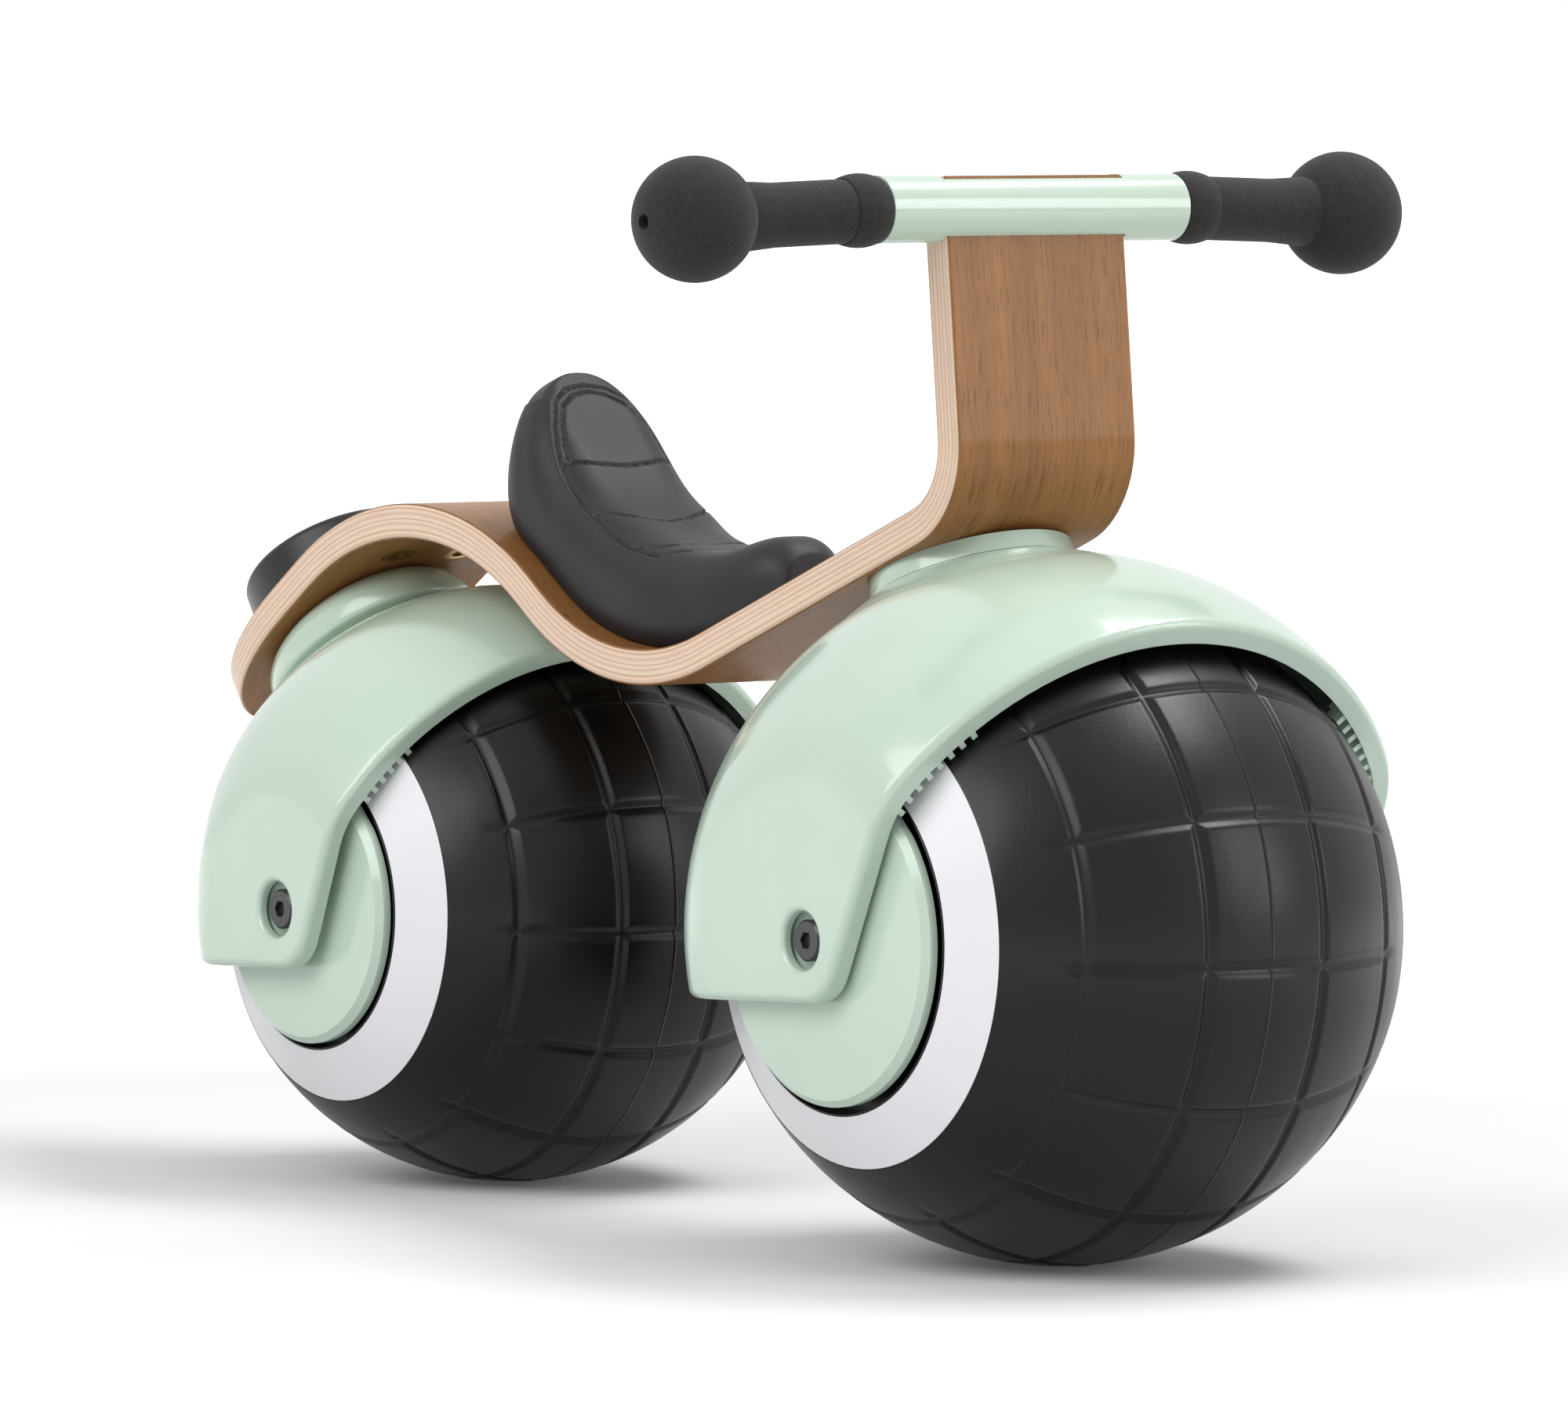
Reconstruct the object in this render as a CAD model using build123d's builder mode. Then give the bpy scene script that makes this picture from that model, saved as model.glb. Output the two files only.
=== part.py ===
"""Ride-on balance bike with two ball wheels, a bent plywood frame and a fixed handlebar.

Millimetres. +X is forward, +Y is the rider's left and +Z is up. The origin is on the
ground, midway along the length and the width.
"""

import math
import os
from dataclasses import dataclass

from build123d import *

os.makedirs("parts", exist_ok=True)

# Overall
overall_length = 570.0
tail_overhang = 150.8
running_gap = 0.05
moving_gap = 0.35
thread_gap = 0.05
seat_gap = 0.15
root_overlap = 1.0
blind_end = 2.0
edge_break = 0.7

# Front wheel
front_ball_radius = 110.0
front_crown_shift = 4.3
front_band_radius = 75.12
front_rim_rise = 9.3
front_rim_radius = 56.4
front_cover_gap = 2.4
front_cover_rise = 5.0
front_cover_top = 38.0

# Rear wheel
rear_ball_radius = 97.4
rear_crown_shift = 3.8
rear_band_radius = 67.01
rear_rim_rise = 9.9
rear_rim_radius = 47.9
rear_cover_gap = 1.7
rear_cover_rise = 4.8
rear_cover_top = 30.7

# Both wheels
ball_wall = 7.0
ball_flat_share = 0.5
hub_web_depth = 9.5
hub_web_wall = 6.0
band_wall = 1.5
band_margin = 0.8
tread_groove_inner = 12.12
tread_groove_outer = 32.85
tread_groove_width = 3.6
tread_groove_depth = 1.3
core_radius = 20.0
core_shoulder = 4.0
core_bore = 10.0
bush_radius = 13.0
bush_length = 20.0
bush_flange_radius = 17.0
bush_flange_wall = 1.4
cover_wall = 5.0
cover_bevel = 2.2
cover_boss_radius = 14.0
cover_boss_play = 0.6
axle_radius = 6.0
axle_bolt_radius = 4.0
axle_bolt_grip = 20.0
bolt_head_radius = 6.8
bolt_head_height = 3.0
bolt_socket_radius = 3.0
bolt_socket_depth = 1.8

# Mudguards
front_guard_gap = 12.5
front_arm_wall = 9.5
front_guard_corner = 35.0
front_rim_lean = 23.8
front_rim_forward = 21.0
front_lip_depth = 7.5
front_rib_count = 8
rear_guard_gap = 10.6
rear_arm_wall = 11.2
rear_guard_corner = 30.0
rear_rim_lean = 20.9
rear_rim_forward = 21.0
rear_lip_depth = 6.5
rear_rib_count = 6
guard_wall = 3.5
guard_lip_width = 9.0
guard_drop = 20.0
guard_tilt = 3.2
guard_toe_radius = 16.0
guard_edge_radius = 3.0
arm_boss_radius = 14.0
pocket_radius = 9.5
pocket_depth = 5.5
pocket_lip = 2.0
rib_width = 2.2
rib_depth = 5.5
rib_pitch = 2.5
rib_start = 30.2
rib_reach = 2.0
rib_root = 0.5

# Plywood strip: runs along the top face between bend corners
ply_wall = 12.0
ply_width = 73.5
ply_edge = 1.1
tail_angle = 35.7
drop_angle = 34.5
head_angle = 21.9
post_lean = 6.5
head_clearance = 4.14
head_reach = 33.97
tail_clearance = 18.0
hump_reach = 87.0
hump_bend = 120.0
drop_straight = 8.26
post_bend = 23.0
tail_taper = 70.0

# Handlebar
bar_height = 343.0
bar_end_drop = 2.0
bar_radius = 11.1
bar_length = 121.0
bar_bore = 6.0
bar_end_radius = 8.0
bar_end_length = 64.0
post_reach = 10.3
bar_screw_radius = 2.5
bar_screw_head = 4.6
bar_screw_spread = 44.0
bar_screw_sink = 0.6
bar_screw_wall = 5.0
bar_screw_socket = 2.0

# Grips
grip_radius = 10.5
grip_collar_radius = 12.1
grip_collar_length = 13.0
grip_collar_crown = 1.2
grip_ball_radius = 20.35
grip_ball_offset = 132.7
grip_hole_radius = 2.6
grip_hole_depth = 9.0
grip_neck_length = 14.0
grip_neck_flare = 1.0

# Steering head
steer_offset = 4.0
head_collar_radius = 34.0
head_collar_wall = 6.0
head_collar_flare = 0.8
head_boss_radius = 35.4
head_boss_fillet = 1.2
head_floor_wall = 4.2
steer_range = 20.0
steer_shoulder_radius = 6.0
steer_thread_radius = 4.0
steer_head_radius = 10.0
steer_head_height = 2.6
steer_bush_wall = 2.0
steer_nut_radius = 9.0
steer_nut_height = 2.2
steer_nut_sleeve = 5.5
steer_socket_radius = 3.2
steer_socket_depth = 1.5
stop_pin_radius = 3.0
stop_pin_orbit = 22.0
stop_pin_reach = 2.6
stop_pin_cover = 1.0
stop_slot_play = 0.4
collar_screw_radius = 2.0
collar_screw_head = 4.0
collar_screw_orbit = 22.0
collar_screw_length = 14.0
collar_screw_sink = 0.6

# Rear mount
tail_mount_setback = 20.03
rear_collar_half_length = 44.4
rear_collar_half_width = 34.8
rear_collar_depth = 42.0
rear_collar_edge = 8.0
rear_collar_slit = 1.4
rear_spigot_radius = 18.0
rear_bolt_radius = 4.0
rear_bolt_head = 7.0
rear_bolt_head_height = 2.4
rear_nut_radius = 7.0
rear_nut_height = 6.0
tail_pad_radius = 35.0
tail_pad_height = 14.0
tail_pad_edge = 3.0
tail_pad_sink = 2.0

# Saddle: rear point, front point and half width of each section, from the crest to the nose.
# The points are measured from the valley corner of the strip.
seat_edge_share = 0.42
seat_sections = (
    ((-77.3, 99.3), (-71.8, 101.3), 7.5),
    ((-79.1, 94.8), (-68.3, 97.3), 14.5),
    ((-81.1, 86.8), (-61.8, 90.8), 20.5),
    ((-83.3, 71.8), (-49.8, 77.8), 26.5),
    ((-84.3, 53.8), (-36.3, 65.3), 29.0),
    ((-69.3, 35.8), (-20.8, 55.8), 29.5),
    ((-38.3, 14.8), (-3.3, 48.8), 29.2),
    ((0.7, 5.8), (14.7, 45.3), 28.0),
    ((36.7, 8.8), (36.7, 47.3), 23.0),
    ((55.7, 15.8), (51.7, 51.3), 18.5),
    ((67.7, 21.8), (63.7, 45.8), 11.0),
)
seat_bolt_radius = 3.0
seat_bolt_head = 6.0
seat_bolt_head_height = 3.4
seat_bolt_length = 17.0
seat_bolt_socket = 2.1
seat_bolt_socket_depth = 2.0
seat_bolt_sink = 5.4
seat_washer_radius = 9.0
seat_washer_wall = 1.2
seat_nut_radius = 6.0
seat_nut_height = 7.0
seat_nut_rise = 0.4
seat_bolt_front = 1.01
seat_bolt_rear = 25.27

# Brass inserts
insert_radius = 4.5
insert_thread_radius = 3.0
insert_flange_radius = 6.2
insert_flange_wall = 1.2
insert_end_gap = 0.4
insert_spread = 26.0
insert_angle = 22.5

# Derived sizes: each band starts where the tread's crown comes down to its radius
front_crown = front_ball_radius + front_crown_shift
front_band_edge = math.sqrt(front_crown**2 - (front_band_radius + front_crown_shift) ** 2)
front_rim_edge = front_band_edge + front_rim_rise
front_cover_radius = front_rim_radius - front_cover_gap
front_cover_face = front_rim_edge + front_cover_rise
front_guard_radius = front_ball_radius + front_guard_gap
front_guard_face = front_cover_face + front_arm_wall
rear_crown = rear_ball_radius + rear_crown_shift
rear_band_edge = math.sqrt(rear_crown**2 - (rear_band_radius + rear_crown_shift) ** 2)
rear_rim_edge = rear_band_edge + rear_rim_rise
rear_cover_radius = rear_rim_radius - rear_cover_gap
rear_cover_face = rear_rim_edge + rear_cover_rise
rear_guard_radius = rear_ball_radius + rear_guard_gap
rear_guard_face = rear_cover_face + rear_arm_wall

# Derived positions
front_axle_x = overall_length / 2 - front_ball_radius
rear_axle_x = tail_overhang - overall_length / 2
wheelbase = front_axle_x - rear_axle_x


def polar(length, degrees):
    """A step of the given length at the given angle, as a pair."""
    return length * math.cos(math.radians(degrees)), length * math.sin(math.radians(degrees))


def save(piece, name):
    """Name a finished piece and write it out."""
    piece.part.label = name
    export_step(piece.part, f"parts/{name}.step")


# Directions: up the post, and square to and along the front slope and the tail
lean_x, lean_z = polar(1.0, 90.0 + post_lean)
steer_along = polar(1.0, head_angle)
steer_dir = (-steer_along[1], steer_along[0])
tail_along = polar(1.0, tail_angle)
tail_dir = (-tail_along[1], tail_along[0])


def from_axle(axle_x, axle_z, up_dir, up, along_dir, along):
    """Point that lies up and along from an axle, in the side view."""
    return axle_x + up * up_dir[0] + along * along_dir[0], axle_z + up * up_dir[1] + along * along_dir[1]


# Corners of the strip's top face: the slope clears the front guard and the tail clears the rear one
head_height = front_guard_radius + head_clearance
slope_height = head_height + ply_wall
head_corner = from_axle(front_axle_x, front_ball_radius, steer_dir, slope_height, steer_along, head_reach)
post_climb = (bar_height + ply_wall / 2 * lean_x - head_corner[1]) / lean_z
bar_x = head_corner[0] + post_climb * lean_x + ply_wall / 2 * lean_z
post_run = post_climb + post_reach
post_top = (head_corner[0] + post_run * lean_x, head_corner[1] + post_run * lean_z)
tail_height = rear_guard_radius + tail_clearance + ply_wall
hump_corner = from_axle(rear_axle_x, rear_ball_radius, tail_dir, tail_height, tail_along, hump_reach)
drop_x, drop_z = polar(1.0, drop_angle)
corner_dx, corner_dz = head_corner[0] - hump_corner[0], head_corner[1] - hump_corner[1]
head_run = (corner_dx * drop_z + corner_dz * drop_x) / math.sin(math.radians(head_angle + drop_angle))
valley_corner = (head_corner[0] - head_run * steer_along[0], head_corner[1] - head_run * steer_along[1])
drop_run = (valley_corner[0] - hump_corner[0]) / drop_x
hump_turn = (tail_angle + drop_angle) / 2
valley_turn = (drop_angle + head_angle) / 2
hump_tangent = hump_bend * math.tan(math.radians(hump_turn))
valley_bend = (drop_run - drop_straight - hump_tangent) / math.tan(math.radians(valley_turn))
tail_length = (overall_length / 2 + hump_corner[0]) / tail_along[0]
tail_tip = (hump_corner[0] - tail_length * tail_along[0], hump_corner[1] - tail_length * tail_along[1])

# Steering axis: square to the front slope, just behind the front ball's centre
steer_x, steer_z = from_axle(
    front_axle_x, front_ball_radius, steer_dir, head_height, steer_along, -steer_offset
)
steer_plane = Plane(
    origin=(steer_x, 0, steer_z),
    x_dir=(steer_along[0], 0, steer_along[1]),
    z_dir=(steer_dir[0], 0, steer_dir[1]),
)

# Rear mount axis: square to the tail, just behind the rear ball's centre
tail_mount_along = tail_length - hump_reach - tail_mount_setback
mount_x, mount_z = from_axle(
    rear_axle_x, rear_ball_radius, tail_dir, tail_height, tail_along, -tail_mount_setback
)
tail_top_plane = Plane(
    origin=(mount_x, 0, mount_z),
    x_dir=(tail_along[0], 0, tail_along[1]),
    z_dir=(tail_dir[0], 0, tail_dir[1]),
)
tail_under_plane = tail_top_plane.offset(-ply_wall)

# Hump centre, for the inserts
hump_lean = (tail_angle - drop_angle) / 2
hump_drop = hump_bend / math.cos(math.radians(hump_turn))
hump_centre = (
    hump_corner[0] + hump_drop * math.sin(math.radians(hump_lean)),
    hump_corner[1] - hump_drop * math.cos(math.radians(hump_lean)),
)
insert_dir = (-math.sin(math.radians(insert_angle)), math.cos(math.radians(insert_angle)))
insert_under_plane = Plane(
    origin=(
        hump_centre[0] + (hump_bend - ply_wall) * insert_dir[0],
        0,
        hump_centre[1] + (hump_bend - ply_wall) * insert_dir[1],
    ),
    x_dir=(insert_dir[1], 0, -insert_dir[0]),
    z_dir=(insert_dir[0], 0, insert_dir[1]),
)

# Handlebar frame: local z across the bike, local x along the post's thickness
bar_plane = Plane(origin=(bar_x, 0, bar_height), x_dir=(lean_z, 0, -lean_x), z_dir=(0, -1, 0))
bar_rear_plane = Plane(
    origin=(bar_x - bar_radius * lean_z, 0, bar_height + bar_radius * lean_x),
    x_dir=(0, 1, 0),
    z_dir=(-lean_z, 0, lean_x),
)


def strip_outline():
    """Closed side outline of the plywood strip, in the X-Z plane."""
    with BuildLine() as outline:
        FilletPolyline(
            tail_tip,
            hump_corner,
            valley_corner,
            head_corner,
            post_top,
            radius=(hump_bend, valley_bend, post_bend),
        )
        offset(amount=ply_wall, side=Side.RIGHT)
    return outline.line


def strip_solid():
    """The plywood strip as bent, square-ended and not yet drilled."""
    with BuildPart() as strip:
        with BuildSketch(strip_plane):
            add(strip_outline())
            make_face()
        extrude(amount=ply_width / 2, both=True)
    return strip.part


def seat_bolt_plane(degrees):
    """Plane on the strip's underside, some degrees behind the lowest point of the valley bend."""
    lean = math.radians((drop_angle - head_angle) / 2)
    rise = valley_bend / math.cos(math.radians(valley_turn))
    radius = valley_bend + ply_wall
    up, across = polar(1.0, degrees)
    return Plane(
        origin=(
            valley_corner[0] + rise * math.sin(lean) - radius * across,
            0,
            valley_corner[1] + rise * math.cos(lean) - radius * up,
        ),
        x_dir=(up, 0, -across),
        z_dir=(across, 0, up),
    )


def stepped(planes, distance):
    """The given planes, each moved along its own normal."""
    return [plane.offset(distance) for plane in planes]


strip_plane = Plane(origin=(0, 0, 0), x_dir=(1, 0, 0), z_dir=(0, -1, 0))
seat_bolt_planes = [seat_bolt_plane(seat_bolt_rear), seat_bolt_plane(seat_bolt_front)]
seat_washer_planes = stepped(seat_bolt_planes, seat_bolt_sink - seat_washer_wall)
seat_nut_planes = stepped(seat_bolt_planes, ply_wall + seat_nut_rise)

# Plywood strip with its tapered tail and every hole drilled in it
with BuildPart() as ply_frame:
    add(strip_solid())
    with BuildSketch(tail_top_plane):
        with Locations((-tail_mount_along, 0)):
            Rectangle(tail_taper * 2, ply_width * 2)
        with Locations((tail_taper - tail_mount_along, 0)):
            Ellipse(tail_taper, ply_width / 2, mode=Mode.SUBTRACT)
    extrude(amount=ply_wall * 2, both=True, mode=Mode.SUBTRACT)
    rim_faces = ply_frame.faces().filter_by(
        lambda f: abs(f.center().Y) > ply_width / 2 - edge_break
        or f.geom_type not in (GeomType.PLANE, GeomType.CYLINDER)
    )
    rim_edges = rim_faces.edges().filter_by(lambda e: e.length > ply_wall + root_overlap)
    chamfer(rim_edges, length=ply_edge)
    with BuildSketch(steer_plane):
        Circle(steer_nut_sleeve + seat_gap)
    extrude(amount=ply_wall * 2, mode=Mode.SUBTRACT)
    with BuildSketch(steer_plane):
        with PolarLocations(collar_screw_orbit, 2, start_angle=90):
            Circle(collar_screw_radius + thread_gap)
    extrude(amount=collar_screw_length - head_collar_wall + blind_end, mode=Mode.SUBTRACT)
    with BuildSketch(tail_under_plane):
        Circle(rear_bolt_radius + seat_gap)
    extrude(amount=ply_wall * 2, mode=Mode.SUBTRACT)
    with BuildSketch(insert_under_plane):
        with GridLocations(1, insert_spread, 1, 2):
            Circle(insert_radius + thread_gap)
    extrude(amount=ply_wall * 2, both=True, mode=Mode.SUBTRACT)
    with BuildSketch(insert_under_plane.offset(insert_flange_wall)):
        with GridLocations(1, insert_spread, 1, 2):
            Circle(insert_flange_radius + seat_gap)
    extrude(amount=-ply_wall, mode=Mode.SUBTRACT)
    with BuildSketch(*seat_bolt_planes):
        Circle(seat_bolt_radius + seat_gap)
    extrude(amount=ply_wall * 2, mode=Mode.SUBTRACT)
    with BuildSketch(*stepped(seat_bolt_planes, seat_bolt_sink)):
        Circle(seat_washer_radius + seat_gap)
    extrude(amount=-ply_wall, mode=Mode.SUBTRACT)
    with BuildSketch(bar_rear_plane):
        with GridLocations(bar_screw_spread, 1, 2, 1):
            Circle(bar_screw_radius + thread_gap)
    extrude(amount=-bar_radius * 2, mode=Mode.SUBTRACT)
save(ply_frame, "ply_frame")


def bar_end_plane(side):
    """Plane at one end of the straight middle of the bar, facing out along the drooping end."""
    drop = math.radians(bar_end_drop)
    return Plane(
        origin=(bar_x, side * bar_length / 2, bar_height),
        x_dir=(1, 0, 0),
        z_dir=(0, side * math.cos(drop), -math.sin(drop)),
    )


# Handlebar tube, slotted for the post and stepped down inside the grips
with BuildPart() as handlebar_tube:
    with BuildSketch(bar_plane):
        Circle(bar_radius)
    extrude(amount=bar_length / 2, both=True)
    with BuildSketch(*[bar_end_plane(side).offset(-bar_end_radius) for side in (1, -1)]):
        Circle(bar_end_radius)
    extrude(amount=bar_end_radius + bar_end_length)
    with BuildSketch(bar_plane):
        Circle(bar_bore)
    extrude(amount=bar_length / 2, both=True, mode=Mode.SUBTRACT)
    with BuildSketch(*[bar_end_plane(side).offset(-bar_end_radius) for side in (1, -1)]):
        Circle(bar_bore)
    extrude(amount=bar_end_radius + bar_end_length, mode=Mode.SUBTRACT)
    with BuildSketch(bar_plane):
        Rectangle(ply_wall + 2 * seat_gap, bar_radius * 3)
    extrude(amount=ply_width / 2 + seat_gap, both=True, mode=Mode.SUBTRACT)
    with BuildSketch(bar_rear_plane):
        with GridLocations(bar_screw_spread, 1, 2, 1):
            Circle(bar_screw_radius + thread_gap)
    extrude(amount=-bar_radius, mode=Mode.SUBTRACT)
    with BuildSketch(bar_rear_plane):
        with GridLocations(bar_screw_spread, 1, 2, 1):
            Circle(bar_screw_head + thread_gap)
    extrude(amount=-bar_screw_radius, mode=Mode.SUBTRACT)
save(handlebar_tube, "handlebar_tube")

with BuildPart() as bar_screws:
    with BuildSketch(bar_rear_plane.offset(-bar_screw_radius)):
        with GridLocations(bar_screw_spread, 1, 2, 1):
            Circle(bar_screw_head)
    extrude(amount=bar_screw_radius - bar_screw_sink)
    with BuildSketch(bar_rear_plane.offset(-bar_screw_radius)):
        with GridLocations(bar_screw_spread, 1, 2, 1):
            Circle(bar_screw_radius)
    extrude(amount=-(bar_radius * 2 - bar_screw_radius - bar_screw_wall))
    with BuildSketch(bar_rear_plane):
        with GridLocations(bar_screw_spread, 1, 2, 1):
            RegularPolygon(bar_screw_socket, 6)
    extrude(amount=-bar_screw_radius, mode=Mode.SUBTRACT)
save(bar_screws, "bar_screws")


def grip(side, name):
    """One foam grip: a collar, a plain sleeve and a ball end with a small vent hole."""
    drop = math.radians(bar_end_drop)
    root_plane = Plane(
        origin=(bar_x, side * bar_length / 2, bar_height),
        x_dir=(1, 0, 0),
        z_dir=(0, math.sin(drop), side * math.cos(drop)),
    )
    ball = (grip_ball_offset - bar_length / 2) / math.cos(drop)
    root = seat_gap + bar_radius * math.sin(drop)
    collar_end = root + grip_collar_length
    bore = bar_end_radius + thread_gap
    bore_end = bar_end_length + seat_gap
    hole_end = ball + grip_ball_radius - grip_hole_depth
    hole_edge = ball + math.sqrt(grip_ball_radius**2 - grip_hole_radius**2)
    neck_radius = grip_radius + grip_neck_flare
    neck = ball - math.sqrt(grip_ball_radius**2 - neck_radius**2)
    collar_edge = grip_collar_radius - grip_collar_crown
    with BuildPart() as sleeve:
        with BuildSketch(root_plane):
            with BuildLine():
                Line((bore, root), (collar_edge, root))
                ThreePointArc(
                    (collar_edge, root),
                    (grip_collar_radius, root + grip_collar_length / 2),
                    (collar_edge, collar_end),
                )
                Polyline(
                    (collar_edge, collar_end),
                    (grip_radius, collar_end),
                    (grip_radius, neck - grip_neck_length),
                    (neck_radius, neck),
                )
                ThreePointArc((neck_radius, neck), (grip_ball_radius, ball), (grip_hole_radius, hole_edge))
                Polyline(
                    (grip_hole_radius, hole_edge),
                    (grip_hole_radius, hole_end),
                    (0, hole_end),
                    (0, bore_end),
                    (bore, bore_end),
                    (bore, root),
                )
            make_face()
        revolve(axis=Axis(root_plane.origin, root_plane.y_dir))
    save(sleeve, name)


grip(1, "grip_left")
grip(-1, "grip_right")


def section_plane(rear, front):
    """Plane of one saddle section, local x across the bike and local y from rear to front point."""
    dx, dz = front[0] - rear[0], front[1] - rear[1]
    length = math.hypot(dx, dz)
    middle = (
        valley_corner[0] + (rear[0] + front[0]) / 2,
        0,
        valley_corner[1] + (rear[1] + front[1]) / 2,
    )
    return Plane(origin=middle, x_dir=(0, 1, 0), z_dir=(-dz / length, 0, dx / length)), length


# Saddle: a loft through its sections, cut to lie on the strip and hollowed for the nuts
with BuildPart() as seat:
    for rear, front, half_width in seat_sections:
        plane, height = section_plane(rear, front)
        with BuildSketch(plane):
            RectangleRounded(half_width * 2, height, min(height, half_width * 2) * seat_edge_share)
    loft()
    with BuildSketch(strip_plane):
        with BuildLine():
            FilletPolyline(
                tail_tip,
                hump_corner,
                valley_corner,
                head_corner,
                radius=(hump_bend, valley_bend),
            )
            Polyline(head_corner, (head_corner[0], 0), (tail_tip[0], 0), tail_tip)
        make_face()
    extrude(amount=ply_width, both=True, mode=Mode.SUBTRACT)
    with BuildSketch(*seat_bolt_planes):
        Circle(seat_nut_radius + seat_gap)
    extrude(amount=ply_wall + seat_nut_rise + seat_nut_height + seat_gap, mode=Mode.SUBTRACT)
    with BuildSketch(*seat_washer_planes):
        Circle(seat_bolt_radius + seat_gap)
    extrude(amount=seat_bolt_length + blind_end, mode=Mode.SUBTRACT)
save(seat, "seat")

with BuildPart() as seat_nuts:
    with BuildSketch(*seat_nut_planes):
        Circle(seat_nut_radius)
        Circle(seat_bolt_radius + thread_gap, mode=Mode.SUBTRACT)
    extrude(amount=seat_nut_height)
save(seat_nuts, "seat_nuts")

with BuildPart() as seat_washers:
    with BuildSketch(*seat_washer_planes):
        Circle(seat_washer_radius)
        Circle(seat_bolt_radius + thread_gap, mode=Mode.SUBTRACT)
    extrude(amount=seat_washer_wall)
save(seat_washers, "seat_washers")

with BuildPart() as seat_bolts:
    with BuildSketch(*seat_washer_planes):
        Circle(seat_bolt_radius)
    extrude(amount=seat_bolt_length)
    with BuildSketch(*seat_washer_planes):
        Circle(seat_bolt_head)
    extrude(amount=-seat_bolt_head_height)
    with BuildSketch(*stepped(seat_washer_planes, -seat_bolt_head_height)):
        RegularPolygon(seat_bolt_socket, 6)
    extrude(amount=seat_bolt_socket_depth, mode=Mode.SUBTRACT)
save(seat_bolts, "seat_bolts")

# Flanged brass inserts, threaded right through
with BuildPart() as accessory_inserts:
    with BuildSketch(insert_under_plane):
        with GridLocations(1, insert_spread, 1, 2):
            Circle(insert_radius)
    extrude(amount=ply_wall - insert_end_gap)
    with BuildSketch(insert_under_plane):
        with GridLocations(1, insert_spread, 1, 2):
            Circle(insert_flange_radius)
    extrude(amount=insert_flange_wall)
    with BuildSketch(insert_under_plane):
        with GridLocations(1, insert_spread, 1, 2):
            Circle(insert_thread_radius)
    extrude(amount=ply_wall * 2, both=True, mode=Mode.SUBTRACT)
save(accessory_inserts, "accessory_inserts")

# Round pad on the tail, over the end of the rear mount bolt
with BuildPart() as tail_pad:
    with BuildSketch(tail_top_plane.offset(-tail_pad_sink)):
        Circle(tail_pad_radius)
    extrude(amount=tail_pad_sink + tail_pad_height)
    pad_rim = tail_pad.faces().sort_by(Axis((0, 0, 0), tail_top_plane.z_dir))[-1].edges()
    fillet(pad_rim, radius=tail_pad_edge)
    add(strip_solid(), mode=Mode.SUBTRACT)
    with BuildSketch(tail_top_plane):
        Circle(rear_nut_radius + seat_gap)
    extrude(amount=rear_nut_height + seat_gap, both=True, mode=Mode.SUBTRACT)
save(tail_pad, "tail_pad")

# Steering head: collar screwed under the slope, pivot bolt, its nut and the limit pin
with BuildPart() as head_collar:
    with BuildSketch(steer_plane):
        Circle(head_collar_radius)
    with BuildSketch(steer_plane.offset(-head_collar_wall)):
        Circle(head_collar_radius + head_collar_flare)
    loft()
    with BuildSketch(steer_plane):
        Circle(steer_shoulder_radius + seat_gap)
    extrude(amount=-head_collar_wall * 2, mode=Mode.SUBTRACT)
    with BuildSketch(steer_plane):
        with PolarLocations(collar_screw_orbit, 2, start_angle=90):
            Circle(collar_screw_radius + thread_gap)
    extrude(amount=-head_collar_wall * 2, mode=Mode.SUBTRACT)
    with BuildSketch(steer_plane.offset(-head_collar_wall)):
        with PolarLocations(collar_screw_orbit, 2, start_angle=90):
            Circle(collar_screw_head + thread_gap)
    extrude(amount=collar_screw_radius + collar_screw_sink, mode=Mode.SUBTRACT)
    with BuildSketch(steer_plane.offset(-head_collar_wall)):
        with Locations((-stop_pin_orbit, 0)):
            Circle(stop_pin_radius + thread_gap)
    extrude(amount=head_collar_wall - stop_pin_cover, mode=Mode.SUBTRACT)
save(head_collar, "head_collar")

with BuildPart() as collar_screws:
    with BuildSketch(steer_plane.offset(-head_collar_wall + collar_screw_sink)):
        with PolarLocations(collar_screw_orbit, 2, start_angle=90):
            Circle(collar_screw_head)
    extrude(amount=collar_screw_radius)
    with BuildSketch(steer_plane.offset(-head_collar_wall + collar_screw_sink)):
        with PolarLocations(collar_screw_orbit, 2, start_angle=90):
            Circle(collar_screw_radius)
    extrude(amount=collar_screw_length)
save(collar_screws, "collar_screws")

with BuildPart() as steer_stop:
    with BuildSketch(steer_plane.offset(-head_collar_wall - stop_pin_reach)):
        with Locations((-stop_pin_orbit, 0)):
            Circle(stop_pin_radius)
    extrude(amount=stop_pin_reach + head_collar_wall - stop_pin_cover - seat_gap)
save(steer_stop, "steer_stop")

steer_floor_low = -head_collar_wall - moving_gap - head_floor_wall
steer_head_top = steer_floor_low - moving_gap

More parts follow.
